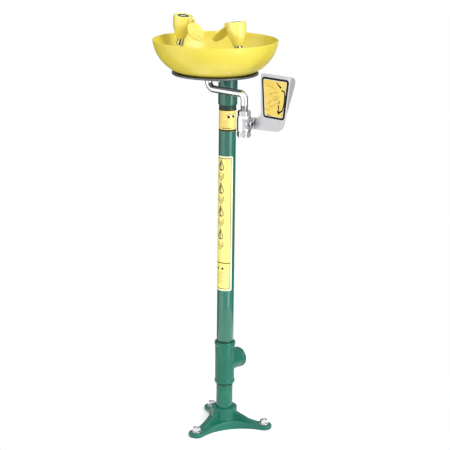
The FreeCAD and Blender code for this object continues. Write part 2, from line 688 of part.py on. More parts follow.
def drain():
    """Drain in the bowl's floor, above the pedestal pipe."""
    floor_top = "bowl_low + bowl_wall"
    seat = floor_top + " + gasket_thick"
    flange_top = seat + " + drain_flange_thick"
    ring("drain_gasket", "drain_flange_r", "tail_r", floor_top, seat)
    body = new_body("drain_body")
    revolve(body, "shell", outlines=[[
        ("drain_bore_r", "bracket_ledge"),
        ("tail_r", "bracket_ledge"),
        ("tail_r", seat),
        ("drain_flange_r", seat),
        ("drain_flange_r", seat + " + 1"),
        ("strainer_r", flange_top),
        ("drain_bore_r + 2", flange_top),
        ("drain_bore_r", seat),
    ]])
    pad(body, "cross_bar", "drain_bar_low", "drain_bar_high", outlines=[[
        ("-drain_bore_r - 1", "-drain_bar_half"),
        ("drain_bore_r + 1", "-drain_bar_half"),
        ("drain_bore_r + 1", "drain_bar_half"),
        ("-drain_bore_r - 1", "drain_bar_half"),
    ]])
    cut(body, "screw_hole", "drain_bar_low", "drain_bar_high", circles=[("0", "0", "screw_r")])
    strainer = new_body("drain_strainer")
    strainer_top = flange_top + " + strainer_thick"
    pad(strainer, "disc", flange_top, strainer_top, circles=[("0", "0", "strainer_r")])
    cut(strainer, "screw_hole", flange_top, strainer_top, circles=[("0", "0", "screw_r")])
    for circle, count in (("strainer_outer_circle", 12), ("strainer_inner_circle", 6)):
        hole = cut(strainer, circle, flange_top, strainer_top, circles=[(circle, "0", "strainer_hole_r")])
        repeat_round(strainer, hole, count)
    screw = new_body("strainer_screw")
    pad(screw, "shank", "drain_bar_low", strainer_top, circles=[("0", "0", "screw_r")])
    pad(screw, "head", strainer_top, strainer_top + " + 1.8", circles=[("0", "0", "screw_head_r")])


def bowl_group():
    bowl_bracket()
    support_dish()
    bowl()
    bracket_fastener()
    drain()


# Supply tube, yoke and spray heads

def supply_tube():
    """Tube that rises from the valve, runs level and rises again through the bowl's floor."""
    body = new_body("supply_tube")
    sweep(body, "tube", "PartDesign::AdditivePipe",
          path=[
              ("0", "tube_top"),
              ("0", "tube_axis + elbow_bend", "elbow_bend", 1),
              ("elbow_bend", "tube_axis"),
              ("valve_x - tube_bend", "tube_axis", "tube_bend", -1),
              ("valve_x", "tube_axis - tube_bend"),
              ("valve_x", "tube_end"),
          ],
          level="tube_top", circles=[("0", "0", "tube_r"), ("0", "0", "tube_bore_r")])
    cut(body, "thread_relief", "valve_high", "tape_high",
        circles=[("valve_x", "0", "tube_r + 1"), ("valve_x", "0", "thread_r")])
    place(body, y="supply_y")
    tape = ring("thread_tape", "tape_r", "thread_r", "valve_high", "tape_high")
    place(tape, x="valve_x", y="supply_y")


def spray_yoke():
    """Forked tube that feeds both spray heads, with its gasket and locknut."""
    floor_top = "bowl_low + bowl_wall"
    nut_low = floor_top + " + gasket_thick"
    nut_high = nut_low + " + locknut_tall"
    gasket = ring("supply_gasket", "locknut_flats / 2", "tube_r", floor_top, nut_low)
    place(gasket, y="supply_y")
    locknut = hex_nut("supply_locknut", "locknut_flats", "tube_r", nut_low, nut_high)
    place(locknut, y="supply_y")
    body = new_body("spray_yoke")
    tilt_sin = "sin(head_tilt * 1deg)"
    tilt_cos = "cos(head_tilt * 1deg)"
    # Length of the straight tube between the bend and the foot of the head
    straight = "((head_foot - yoke_axis - yoke_bend * (1 + %s)) / %s)" % (tilt_sin, tilt_cos)
    bend_end_x = "head_x + %s * %s" % (straight, tilt_sin)
    bend_end_z = "head_foot - %s * %s" % (straight, tilt_cos)
    path = [
        ("0", "yoke_axis"),
        ("%s - yoke_bend * %s" % (bend_end_x, tilt_cos), "yoke_axis", "yoke_bend", 1),
        (bend_end_x, bend_end_z),
        ("head_x - stub * " + tilt_sin, "head_foot + stub * " + tilt_cos),
    ]
    arm = sweep(body, "arm", "PartDesign::AdditivePipe", path=path, plane="YZ_Plane",
                circles=[("0", "yoke_axis", "yoke_r")])
    mirror_x(body, arm)
    revolve(body, "block", outlines=[[
        ("0", nut_high),
        ("yoke_block_r", nut_high),
        ("yoke_block_r", "yoke_top - 4"),
        ("yoke_block_r - 4", "yoke_top"),
        ("0", "yoke_top"),
    ]])
    bore = sweep(body, "arm_bore", "PartDesign::SubtractivePipe", path=path, plane="YZ_Plane",
                 circles=[("0", "yoke_axis", "yoke_bore_r")])
    mirror_x(body, bore)
    cut(body, "tube_socket", nut_high, "tube_top", circles=[("0", "0", "tube_r")])
    cut(body, "riser", nut_high, "yoke_axis", circles=[("0", "0", "yoke_bore_r - 1")])
    place(body, y="supply_y")


def put_on_head(piece, sign):
    """Place a piece in the tilted frame whose origin is the foot of a spray head."""
    place(piece, "%d * head_x" % sign, "supply_y", "head_foot", ALONG_Y, "%d * head_tilt" % -sign)


def spray_head(side, sign):
    """Tulip-shaped head with a hinge lug towards the middle of the station."""
    body = new_body(side + "_spray_head")
    revolve(body, "shell", outlines=[[
        ("yoke_r", "0"),
        ("head_foot_r", "0"),
        ("head_neck_r", "head_neck", "head_side_r", 1),
        ("head_shoulder_r", "head_shoulder"),
        ("head_r", "head_tall - 1.2"),
        ("head_r - 1.2", "head_tall"),
        ("head_r - 3", "head_tall"),
        ("head_r - 4.5", "head_tall - head_dish"),
        ("insert_r", "head_tall - head_dish"),
        ("insert_r", "insert_floor"),
        ("yoke_r", "insert_floor - 6"),
    ]])
    inward = -sign
    reach = "%d * hinge_reach" % inward
    pad(body, "lug", "-lug_half", "lug_half", plane="XZ_Plane", outlines=[[
        (reach, "hinge_up + knuckle_r", "knuckle_r", sign),
        ("%d * (hinge_reach + knuckle_r)" % inward, "hinge_up", "knuckle_r", sign),
        (reach, "hinge_up - knuckle_r"),
        ("%d * (head_r - 2)" % inward, "hinge_up - 9"),
        ("%d * (head_r - 2)" % inward, "hinge_up + 2.3"),
        ("%d * (hinge_reach - 3)" % inward, "hinge_up + 2.3"),
    ]])
    cut(body, "pin_hole", "-lug_half", "lug_half", plane="XZ_Plane", circles=[(reach, "hinge_up", "pin_r")])
    put_on_head(body, sign)


def head_fittings(side, sign):
    """Collar below the head, and the flow control and outlet insert inside it."""
    collar = new_body(side + "_head_collar")
    revolve(collar, "ring", outlines=[[
        ("yoke_r", "-collar_tall"),
        ("collar_r", "-collar_tall"),
        ("collar_r", "-collar_tall * 0.64"),
        ("collar_r - collar_groove", "-collar_tall * 0.6"),
        ("collar_r - collar_groove", "-collar_tall * 0.46"),
        ("collar_r", "-collar_tall * 0.42"),
        ("collar_r", "0"),
        ("yoke_r", "0"),
    ]])
    put_on_head(collar, sign)
    control = ring(side + "_flow_control", "yoke_r", "2", "stub", "stub + flow_thick")
    put_on_head(control, sign)
    insert = new_body(side + "_outlet_insert")
    revolve(insert, "body", outlines=[[
        ("yoke_bore_r", "insert_floor"),
        ("insert_r", "insert_floor"),
        ("insert_r", "head_tall - 0.6"),
        ("insert_r - 0.8", "head_tall + 0.2"),
        ("insert_well_r", "head_tall + 0.2"),
        ("insert_well_r", "head_tall - insert_well"),
        ("0", "head_tall - insert_well"),
        ("0", "head_tall - insert_well - 3"),
        ("yoke_bore_r", "head_tall - insert_well - 3"),
    ]])
    put_on_head(insert, sign)


def hinge_place(piece, sign, angle):
    """Place a piece in the frame of a cover's hinge, turned by an angle about the hinge."""
    tilt_sin = "sin(head_tilt * 1deg)"
    tilt_cos = "cos(head_tilt * 1deg)"
    x = "%d * (head_x - hinge_up * %s - hinge_reach * %s)" % (sign, tilt_sin, tilt_cos)
    z = "head_foot + hinge_up * %s - hinge_reach * %s" % (tilt_cos, tilt_sin)
    place(piece, x, "supply_y", z, ALONG_Y, angle)


def dust_cover(side, sign):
    """Shallow cover drawn closed about its hinge, then placed open."""
    centre = "%d * hinge_reach" % sign
    body = new_body(side + "_dust_cover")
    pad(body, "top", "cover_low", "cover_high", circles=[(centre, "0", "cover_r")])
    pad(body, "skirt", "cover_skirt_low", "cover_high",
        circles=[(centre, "0", "cover_r"), (centre, "0", "cover_r - cover_wall")])
    rim_wide = 2 * sheet.cover_r - 1
    dress(body, "rounded_top", "PartDesign::Fillet", "1.2",
          lambda edge: edge.BoundBox.ZMin > sheet.cover_high - 0.01 and edge.BoundBox.YLength > rim_wide)
    ear_near = "lug_half + ear_gap"
    ear_far = "lug_half + ear_gap + ear_wide"
    root = "%d * (hinge_reach - cover_r + cover_wall - 0.1)" % sign
    ear = [
        ("0", "-knuckle_r"),
        ("%d * knuckle_r * 1.8" % sign, "knuckle_r / 3"),
        (root, "cover_skirt_low + 0.6"),
        (root, "cover_high - 1.2"),
        ("%d * knuckle_r" % sign, "cover_high - 1.2"),
        ("%d * -knuckle_r * 0.8" % sign, "knuckle_r * 0.6", "knuckle_r", sign),
    ]
    pad(body, "near_ear", ear_near, ear_far, plane="XZ_Plane", outlines=[ear])
    pad(body, "far_ear", "-(%s)" % ear_far, "-(%s)" % ear_near, plane="XZ_Plane", outlines=[ear])
    cut(body, "pin_hole", "-(%s)" % ear_far, ear_far, plane="XZ_Plane",
        circles=[("0", "0", "pin_r + pin_play")])
    open_angle = "%s_open" % side
    hinge_place(body, sign, "%d * (head_tilt + %s)" % (-sign, open_angle))


def hinge_pin(side, sign):
    body = new_body(side + "_hinge_pin")
    half = "lug_half + ear_gap + ear_wide + 0.3"
    pad(body, "pin", "-(%s)" % half, half, plane="XZ_Plane", circles=[("0", "0", "pin_r")])
    hinge_place(body, sign, "%d * head_tilt" % -sign)


def water_group():
    supply_tube()
    spray_yoke()
    for side, sign in SIDES:
        spray_head(side, sign)
        head_fittings(side, sign)
        hinge_pin(side, sign)
        dust_cover(side, sign)


# Ball valve

def valve_body():
    body = new_body("valve_body")
    revolve(body, "barrel", outlines=[[
        ("0", "valve_joint"),
        ("valve_r - 2", "valve_joint"),
        ("valve_r", "valve_joint + 3"),
        ("valve_r", "valve_collar - 4"),
        ("valve_r - 2.5", "valve_collar"),
        ("0", "valve_collar"),
    ]])
    pad(body, "collar", "valve_collar", "valve_high", outlines=[hexagon("0", "0", "collar_flats")])
    bevel_nut(body, "collar", "collar_flats", "valve_high")
    pad(body, "stem_boss", "0", "boss_reach", plane="YZ_Plane", circles=[("0", "stem_z", "boss_r")])
    cut(body, "tube_socket", "tube_end", "valve_high", circles=[("0", "0", "tube_r")])
    cut(body, "passage", "chamber_top", "tube_end", circles=[("0", "0", "tube_bore_r")])
    cut(body, "chamber", "spigot_top", "chamber_top", circles=[("0", "0", "chamber_r")])
    cut(body, "spigot_socket", "valve_joint", "spigot_top", circles=[("0", "0", "spigot_r")])
    cut(body, "stem_hole", "0", "boss_reach", plane="YZ_Plane",
        circles=[("0", "stem_z", "stem_r + stem_play")])
    cut(body, "gland_hole", "seal_foot", "boss_reach", plane="YZ_Plane",
        circles=[("0", "stem_z", "gland_r")])
    place(body, x="valve_x", y="supply_y")


def valve_end_piece():
    body = new_body("valve_end_piece")
    pad(body, "hexagon", "valve_low", "valve_joint", outlines=[hexagon("0", "0", "end_flats")])
    pad(body, "spigot", "valve_joint", "spigot_top", circles=[("0", "0", "spigot_r")])
    cut(body, "passage", "valve_low", "spigot_top", circles=[("0", "0", "tube_bore_r")])
    cut(body, "inlet", "valve_low", "valve_low + inlet_depth", circles=[("0", "0", "inlet_r")])
    place(body, x="valve_x", y="supply_y")


def valve_seats():
    """Two seat rings, one each side of the ball."""
    body = new_body("valve_seats")
    rings = [("0", "0", "chamber_r"), ("0", "0", "seat_r")]
    pad(body, "lower_seat", "spigot_top", "spigot_top + seat_thick", circles=rings)
    pad(body, "upper_seat", "chamber_top - seat_thick", "chamber_top", circles=rings)
    place(body, x="valve_x", y="supply_y")


def stem_ring(name, low, high):
    """A ring round the stem inside the boss."""
    body = ring(name, "gland_r", "stem_r + stem_play", low, high)
    place(body, "valve_x", "supply_y", "stem_z", ALONG_Y, "90")


def valve_ball():
    """Ball with its bore across the flow, which is the closed position."""
    ball = doc.addObject("Part::Sphere", "ball_sphere")
    ball.setExpression("Radius", bound("ball_r"))
    bore = doc.addObject("Part::Cylinder", "ball_bore")
    bore.setExpression("Radius", bound("ball_bore_r"))
    bore.setExpression("Height", bound("ball_r * 2 + 2"))
    place(bore, y="ball_r + 1", axis=ALONG_X, angle="90")
    slot = doc.addObject("Part::Box", "ball_slot")
    slot.setExpression("Length", bound("ball_r - tang_foot + slot_play + 1"))
    slot.setExpression("Width", bound("2 * ball_r"))
    slot.setExpression("Height", bound("2 * (tang_half_thick + slot_play)"))
    place(slot, "tang_foot - slot_play", "-ball_r", "-tang_half_thick - slot_play")
    bored = doc.addObject("Part::Cut", "ball_bored")
    bored.Base = ball
    bored.Tool = bore
    finished = doc.addObject("Part::Cut", "valve_ball")
    finished.Base = bored
    finished.Tool = slot
    finished.Label = "valve_ball"
    place(finished, "valve_x", "supply_y", "stem_z")
    pieces.append(finished)


def valve_stem():
    """Stem along +X with a flat tang in the ball's slot."""
    body = new_body("valve_stem")
    pad(body, "round", "stem_foot", "stem_reach", circles=[("0", "0", "stem_r")])
    pad(body, "tang", "tang_foot", "stem_foot", outlines=[[
        ("-tang_half_thick", "-tang_half_wide"),
        ("tang_half_thick", "-tang_half_wide"),
        ("tang_half_thick", "tang_half_wide"),
        ("-tang_half_thick", "tang_half_wide"),
    ]])
    place(body, "valve_x", "supply_y", "stem_z", ALONG_Y, "90")


# Push handle

def handle_section(bend_x):
    """Section of the bent sheet, seen from above: tab, flat face and bent-back edge."""
    back = "flag_y + sheet_thick"
    slant = math.sqrt(0.5)
    return [
        ("tab_x", "tab_y"),
        ("tab_x + sheet_thick", "tab_y"),
        ("tab_x + sheet_thick", "flag_y"),
        (bend_x, "flag_y"),
        ("%s + edge_run" % bend_x, "flag_y + edge_run"),
        ("%s + edge_run - sheet_thick * %.6f" % (bend_x, slant),
         "flag_y + edge_run + sheet_thick * %.6f" % slant),
        ("%s - sheet_thick * %.6f" % (bend_x, math.tan(math.radians(22.5))), back),
        ("tab_x", back),
    ]


def handle_outline():
    """Front view of the handle: arm, rounded heel, slanting right edge and flag."""
    return [
        ("tab_x - 1", "arm_low"),
        ("heel_x", "heel_z", "heel_r", 1),
        ("heel_end_x", "heel_end_z"),
        ("flag_right_top", "flag_top - corner_r", "corner_r", 1),
        ("flag_right_top - corner_r", "flag_top"),
        ("flag_left_top + corner_r", "flag_top", "corner_r", 1),
        ("flag_left_top", "flag_top - corner_r"),
        ("flag_left_low", "arm_high + arm_fillet", "arm_fillet", -1),
        ("flag_left_low - arm_fillet", "arm_high"),
        ("tab_x - 1", "arm_high"),
    ]


def push_handle():
    """Sheet-metal handle: a tab on the stem, an arm and a flag with its edge bent back."""
    body = new_body("push_handle")
    lower = draw(body, "lower_section", level="arm_low", outlines=[handle_section("bend_low_x")])
    upper = draw(body, "upper_section", level="flag_top", outlines=[handle_section("bend_high_x")])
    doc.recompute()
    sheet_metal = body.newObject("PartDesign::AdditiveLoft", "bent_sheet")
    sheet_metal.Profile = lower
    sheet_metal.Sections = [upper]
    sheet_metal.Ruled = True
    margin = [
        ("tab_x - 20", "arm_low - 20"),
        ("bend_high_x + 40", "arm_low - 20"),
        ("bend_high_x + 40", "flag_top + 20"),
        ("tab_x - 20", "flag_top + 20"),
    ]
    cut(body, "front_outline", "flag_y - 20", "-tab_y + 20", plane="XZ_Plane",
        outlines=[margin, handle_outline()])
    cut(body, "stem_hole", "tab_x", "tab_x + sheet_thick", plane="YZ_Plane",
        circles=[("supply_y", "stem_z", "stem_r")])
    dress(body, "tab_corners", "PartDesign::Fillet", "tab_round",
          lambda edge: edge.BoundBox.YMax < sheet.tab_y + 0.01 and edge.BoundBox.ZLength < 0.01)


def handle_sign():
    """Thin sign on the front of the flag."""
    body = new_body("handle_sign")
    pad(body, "plate", "-flag_y", "-flag_y + sign_thick", plane="XZ_Plane", outlines=[[
        ("sign_left_low", "sign_low"),
        ("sign_right_low", "sign_low"),
        ("sign_right_top", "sign_top"),
        ("sign_left_top", "sign_top"),
    ]])
    dress(body, "corners", "PartDesign::Fillet", "sign_round",
          lambda edge: edge.BoundBox.YLength > 0.1 and edge.BoundBox.ZLength + edge.BoundBox.XLength < 0.01)


def handle_hardware():
    washer_low = "tab_x + sheet_thick - valve_x"
    nut_low = washer_low + " + lock_washer_thick"
    washer = ring("lock_washer", "lock_washer_r", "stem_r", washer_low, nut_low)
    nut = hex_nut("handle_nut", "handle_nut_flats", "stem_r", nut_low, "stem_reach - 0.6")
    for piece in (washer, nut):
        place(piece, "valve_x", "supply_y", "stem_z", ALONG_Y, "90")


def valve_group():
    valve_body()
    valve_end_piece()
    valve_seats()
    stem_ring("stem_seal", "seal_foot", "gland_foot")
    stem_ring("stem_gland", "gland_foot", "gland_reach")
    valve_ball()
    valve_stem()
    push_handle()
    handle_sign()
    handle_hardware()


# Checks and files

def check_document():
    """Stop unless every object recomputed and every sub-part is a valid shape."""
    doc.recompute()
    for thing in doc.Objects:
        if "Invalid" in thing.State or "Error" in thing.State:
            raise RuntimeError("%s failed: %s" % (thing.Name, thing.State))
    for piece in pieces:
        if piece.Shape.isNull() or not piece.Shape.isValid():
            raise RuntimeError("%s has no valid shape" % piece.Label)


def write_parts():
    """Write one STEP file for each sub-part."""
    os.makedirs("parts", exist_ok=True)
    for piece in pieces:
        piece.Shape.exportStep("parts/%s.step" % piece.Label)
        print("%-20s solids %d  volume %.0f mm3" % (piece.Label, len(piece.Shape.Solids), piece.Shape.Volume))


fill_sheet()
pedestal()
bowl_group()
water_group()
valve_group()
check_document()
write_parts()
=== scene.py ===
import json
import math

import bmesh
import bpy
from mathutils import Matrix, Vector
from mathutils.geometry import delaunay_2d_cdt


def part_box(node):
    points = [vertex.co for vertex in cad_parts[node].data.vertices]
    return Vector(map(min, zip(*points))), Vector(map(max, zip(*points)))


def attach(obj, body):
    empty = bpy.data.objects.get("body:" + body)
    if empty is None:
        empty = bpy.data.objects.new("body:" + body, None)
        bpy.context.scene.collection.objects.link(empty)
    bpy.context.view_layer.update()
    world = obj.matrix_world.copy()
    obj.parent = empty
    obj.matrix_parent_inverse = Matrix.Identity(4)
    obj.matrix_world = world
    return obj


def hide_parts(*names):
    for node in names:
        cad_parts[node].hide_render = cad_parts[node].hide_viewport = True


# Eyewash station on a floor pedestal. Outlines are in millimetres. A piece is put in place, in
# metres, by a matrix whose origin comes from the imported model's own boxes and joints.

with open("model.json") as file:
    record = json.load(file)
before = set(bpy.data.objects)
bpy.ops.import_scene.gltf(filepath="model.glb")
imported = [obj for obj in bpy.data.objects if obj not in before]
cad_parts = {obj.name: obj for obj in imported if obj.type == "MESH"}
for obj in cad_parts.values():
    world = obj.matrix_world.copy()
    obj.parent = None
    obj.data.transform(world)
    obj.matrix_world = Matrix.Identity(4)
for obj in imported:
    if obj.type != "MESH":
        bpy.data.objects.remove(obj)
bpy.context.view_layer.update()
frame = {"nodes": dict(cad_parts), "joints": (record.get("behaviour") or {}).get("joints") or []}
nodes = frame["nodes"]
joint_places = {joint["name"]: Vector(joint["pos_m"]) for joint in frame["joints"]}
joint_ranges = {joint["name"]: joint["range_deg"] for joint in frame["joints"]}

MM = 0.001
SHEET_STEP = 1.2
FILM_THICKNESS = 0.35
SIDES = (("left", -1), ("right", 1))
X_AXIS = Vector((1, 0, 0))
Y_AXIS = Vector((0, 1, 0))
Z_AXIS = Vector((0, 0, 1))


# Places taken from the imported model

def low(node):
    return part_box(node)[0]


def high(node):
    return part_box(node)[1]


def middle(node):
    return (low(node) + high(node)) / 2


def levels(node):
    """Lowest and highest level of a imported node, in millimetres."""
    return low(node).z / MM, high(node).z / MM


def upright(x, y):
    """Matrix of a piece that stands at a place given in metres."""
    return Matrix.Translation((x, y, 0))


def aimed(origin, axis):
    """Matrix that turns a piece's own z axis to point along another axis."""
    return Matrix.Translation(origin) @ Z_AXIS.rotation_difference(axis).to_matrix().to_4x4()


# Outlines and meshes

def rounded(corners, closed=True, step=12):
    """Join corners, each a point's coordinates and then a fillet radius, into one outline."""
    outline = []
    last = len(corners) - 1
    for i, (*point, radius) in enumerate(corners):
        here = Vector(point)
        if not radius or (not closed and i in (0, last)):
            outline.append(here)
            continue
        back = Vector(corners[i - 1][:-1]) - here
        ahead = Vector(corners[(i + 1) % len(corners)][:-1]) - here
        angle = back.angle(ahead)
        reach = min(radius / math.tan(angle / 2), 0.499 * back.length, 0.499 * ahead.length)
        fillet = reach * math.tan(angle / 2)
        back.normalize()
        ahead.normalize()
        centre = here + (back + ahead).normalized() * (fillet / math.sin(angle / 2))
        start = here + back * reach - centre
        end = here + ahead * reach - centre
        sweep = math.pi - angle
        count = max(2, math.ceil(math.degrees(sweep) / step))
        for k in range(count + 1):
            share = k / count
            weight_a = math.sin((1 - share) * sweep) / math.sin(sweep)
            weight_b = math.sin(share * sweep) / math.sin(sweep)
            outline.append(centre + start * weight_a + end * weight_b)
    return outline


def standing(outline, start, end, bevel):
    """Plate across the y axis, its outline given as x and z."""
    plate = extruded(outline, start, end, bevel)
    plate.transform(Matrix.Rotation(math.pi / 2, 4, "X"))
    return plate


def bridge(bm, rows, close_rows, close_columns):
    """Faces between rows of vertices; either direction may wrap round."""
    count = len(rows[0])
    for i in range(len(rows) if close_rows else len(rows) - 1):
        row, after = rows[i], rows[(i + 1) % len(rows)]
        for k in range(count if close_columns else count - 1):
            n = (k + 1) % count
            bm.faces.new((row[k], row[n], after[n], after[k]))


def turned(outline, steps=96, closed=True, ripple=None):
    """Turn an outline of (radius, height) points about the z axis."""
    bm = bmesh.new()
    rows = []
    for i in range(steps):
        angle = 2 * math.pi * i / steps
        row = []
        for radius, height in outline:
            if ripple:
                radius = ripple(angle, radius, height)
            row.append(bm.verts.new((radius * math.cos(angle), radius * math.sin(angle), height)))
        rows.append(row)
    bridge(bm, rows, True, closed)
    bmesh.ops.remove_doubles(bm, verts=bm.verts, dist=1e-5)
    bmesh.ops.recalc_face_normals(bm, faces=bm.faces)
    return bm


def lathe(corners, steps=96, step=12):
    """Turned piece given as corners; its outline is left open where it meets the axis."""
    closed = corners[0][0] > 0 and corners[-1][0] > 0
    return turned(rounded(corners, closed, step), steps, closed)


def hexagonal(flats, bottom, top, bore, steps=144):
    """Nut or hexagonal body with the usual bevelled faces."""
    face_r = flats / 2 * 0.95
    corner_r = flats / 2 * 1.135
    bm = bmesh.new()
    rows = []
    for i in range(steps):
        angle = 2 * math.pi * i / steps
        fold = (angle + math.pi / 6) % (math.pi / 3) - math.pi / 6
        side_r = min(flats / 2 / math.cos(fold), corner_r)
        drop = (side_r - face_r) * math.tan(math.radians(30))
        section = [(bore, bottom + 0.5), (bore + 0.5, bottom), (face_r, bottom),
                   (side_r, bottom + drop), (side_r, top - drop), (face_r, top), (bore + 0.5, top),
                   (bore, top - 0.5)]
        rows.append([bm.verts.new((r * math.cos(angle), r * math.sin(angle), z))
                     for r, z in section])
    bridge(bm, rows, True, True)
    bmesh.ops.recalc_face_normals(bm, faces=bm.faces)
    return bm


def swept(path, radius, bore, steps=48):
    """Round tube along a path of points, with its bore and both ends."""
    bm = bmesh.new()
    rows = []
    side = None
    for i, point in enumerate(path):
        ahead = (path[min(i + 1, len(path) - 1)] - path[max(i - 1, 0)]).normalized()
        side = side - ahead * side.dot(ahead) if side else ahead.orthogonal()
        side.normalize()
        up = ahead.cross(side)
        angles = [2 * math.pi * k / steps for k in range(steps)]
        ring = [side * math.cos(a) + up * math.sin(a) for a in angles]
        outer = [bm.verts.new(point + spoke * radius) for spoke in ring]
        inner = [bm.verts.new(point + spoke * bore) for spoke in ring]
        rows.append((outer, inner))
    bridge(bm, [outer for outer, inner in rows], False, True)
    bridge(bm, [inner for outer, inner in rows], False, True)
    for outer, inner in (rows[0], rows[-1]):
        bridge(bm, [outer, inner], False, True)
    bmesh.ops.recalc_face_normals(bm, faces=bm.faces)
    return bm


def extruded(outline, bottom, top, bevel=0.4):
    """Flat outline raised from one level to another, with softened edges."""
    bm = bmesh.new()
    lower = [bm.verts.new((x, y, bottom)) for x, y in outline]
    upper = [bm.verts.new((x, y, top)) for x, y in outline]
    bm.faces.new(list(reversed(lower)))
    bm.faces.new(upper)
    bridge(bm, [lower, upper], False, True)
    rims = [edge for edge in bm.edges if any(len(face.verts) > 4 for face in edge.link_faces)]
    bmesh.ops.bevel(bm, geom=rims, offset=bevel, segments=2, affect="EDGES", clamp_overlap=True)
    bmesh.ops.recalc_face_normals(bm, faces=bm.faces)
    return bm


def inside(point, outline):
    """Whether a flat point lies inside a closed outline."""
    x, y = point
    found = False
    for i, (ax, ay) in enumerate(outline):
        bx, by = outline[i - 1]
        if (ay > y) != (by > y) and x < (bx - ax) * (y - ay) / (by - ay) + ax:
            found = not found
    return found


def divided(outline, step):
    """Closed outline with extra points, so that no straight part is longer than a step."""
    points = []
    for i, point in enumerate(outline):
        start, end = Vector(point), Vector(outline[(i + 1) % len(outline)])
        count = max(1, math.ceil((end - start).length / step))
        points += [start.lerp(end, k / count) for k in range(count)]
    return points


def skin(outline, thickness, bend, columns, rows, step=SHEET_STEP):
    """Thin sheet cut to an outline and bent; bend gives a flat point's place and outward normal.

    The sheet's flat coordinates, in metres, are kept as its UV map."""
    flat = divided(outline, step)
    count = len(flat)
    for u in columns:
        for v in rows:
            if inside((u, v), flat):
                flat.append(Vector((u, v)))
    verts, _, faces, *_ = delaunay_2d_cdt(flat, [], [list(range(count))], 1, 1e-6)
    bm = bmesh.new()
    uv = bm.loops.layers.uv.new("flat")
    layers = []
    for depth in (0, thickness):
        made = []
        for u, v in verts:
            point, normal = bend(u, v)
            made.append(bm.verts.new(point - normal * depth))
        layers.append(made)
    flat_of = {vert: verts[i] for made in layers for i, vert in enumerate(made)}
    for face in faces:
        bm.faces.new([layers[0][i] for i in face])
        bm.faces.new([layers[1][i] for i in reversed(face)])
    sides = {}
    for face in faces:
        for i, k in zip(face, face[1:] + face[:1]):
            sides[(i, k)] = sides.get((i, k), 0) + 1
    for i, k in sides:
        if (k, i) not in sides:
            bm.faces.new((layers[0][k], layers[0][i], layers[1][i], layers[1][k]))
    for face in bm.faces:
        for loop in face.loops:
            loop[uv].uv = flat_of[loop.vert] * MM
    bmesh.ops.recalc_face_normals(bm, faces=bm.faces)
    return bm


def joined(*parts):
    """Several meshes as one."""
    whole = parts[0]
    for part in parts[1:]:
        mesh = bpy.data.meshes.new("part")
        part.to_mesh(mesh)
        part.free()
        whole.from_mesh(mesh)
        bpy.data.meshes.remove(mesh)
    return whole


def steps_between(start, end, step):
    """Evenly spaced numbers from start to end, both included."""
    count = max(1, round((end - start) / step))
    return [start + (end - start) * i / count for i in range(count + 1)]


def linked(name, data):
    """New object in the scene."""
    thing = bpy.data.objects.new(name, data)
    bpy.context.scene.collection.objects.link(thing)
    return thing


def placed(name, bm, place=None):
    """Mesh in metres, put in place, from one drawn in millimetres."""
    bm.transform((place or Matrix()) @ Matrix.Scale(MM, 4))
    mesh = bpy.data.meshes.new(name)
    bm.to_mesh(mesh)
    bm.free()
    return mesh


def show(name, bm, material, replaced=(), place=None, body="stand"):
    """Make an object from a mesh in millimetres, put it in place and hand it to its body."""
    show_mesh(name, placed(name, bm, place), material, replaced, body)


def show_mesh(name, mesh, material, replaced, body="stand", sharp=35):
    """Make an object from a mesh in metres; edges bent by more than the angle sharp stay crisp."""
    mesh.materials.clear()
    mesh.materials.append(material)
    mesh.shade_smooth()
    mesh.set_sharp_from_angle(angle=math.radians(sharp))
    thing = linked(name, mesh)
    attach(thing, body)
    if replaced:
        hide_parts(*replaced)


def modified(mesh, name, modifiers):
    """Copy of a mesh after modifiers, each given as a kind and its settings."""
    carrier = linked(name, mesh.copy())
    for kind, settings in modifiers:
        modifier = carrier.modifiers.new(kind, kind)
        for key, value in settings.items():
            setattr(modifier, key, value)
    depsgraph = bpy.context.evaluated_depsgraph_get()
    result = bpy.data.meshes.new_from_object(carrier.evaluated_get(depsgraph))
    bpy.data.objects.remove(carrier)
    return result


def cast(name, node, material, voxel, softness):
    """Casting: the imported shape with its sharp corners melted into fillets."""
    mesh = modified(nodes[node].data, name, [
        ("WELD", {"merge_threshold": 1e-6}),
        ("REMESH", {"mode": "VOXEL", "voxel_size": voxel * MM}),
        ("SMOOTH", {"factor": 0.5, "iterations": softness}),
    ])
    show_mesh(name, mesh, material, (node,), sharp=180)


def melted(name, bm, material, replaced, place, voxel, softness):
    """Casting made of simple closed solids, in millimetres, whose meeting lines are melted."""
    mesh = modified(placed(name, bm, place), name, [
        ("REMESH", {"mode": "VOXEL", "voxel_size": voxel * MM}),
        ("SMOOTH", {"factor": 0.5, "iterations": softness}),
    ])
    show_mesh(name, mesh, material, replaced, sharp=180)


def machined(name, node, material, bevel):
    """Machined part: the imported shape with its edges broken."""
    mesh = modified(nodes[node].data, name, [
        ("WELD", {"merge_threshold": 1e-6}),
        ("BEVEL", {"width": bevel * MM, "segments": 2, "limit_method": "ANGLE",
                   "angle_limit": math.radians(40), "harden_normals": False}),
    ])
    show_mesh(name, mesh, material, (node,))


# Materials

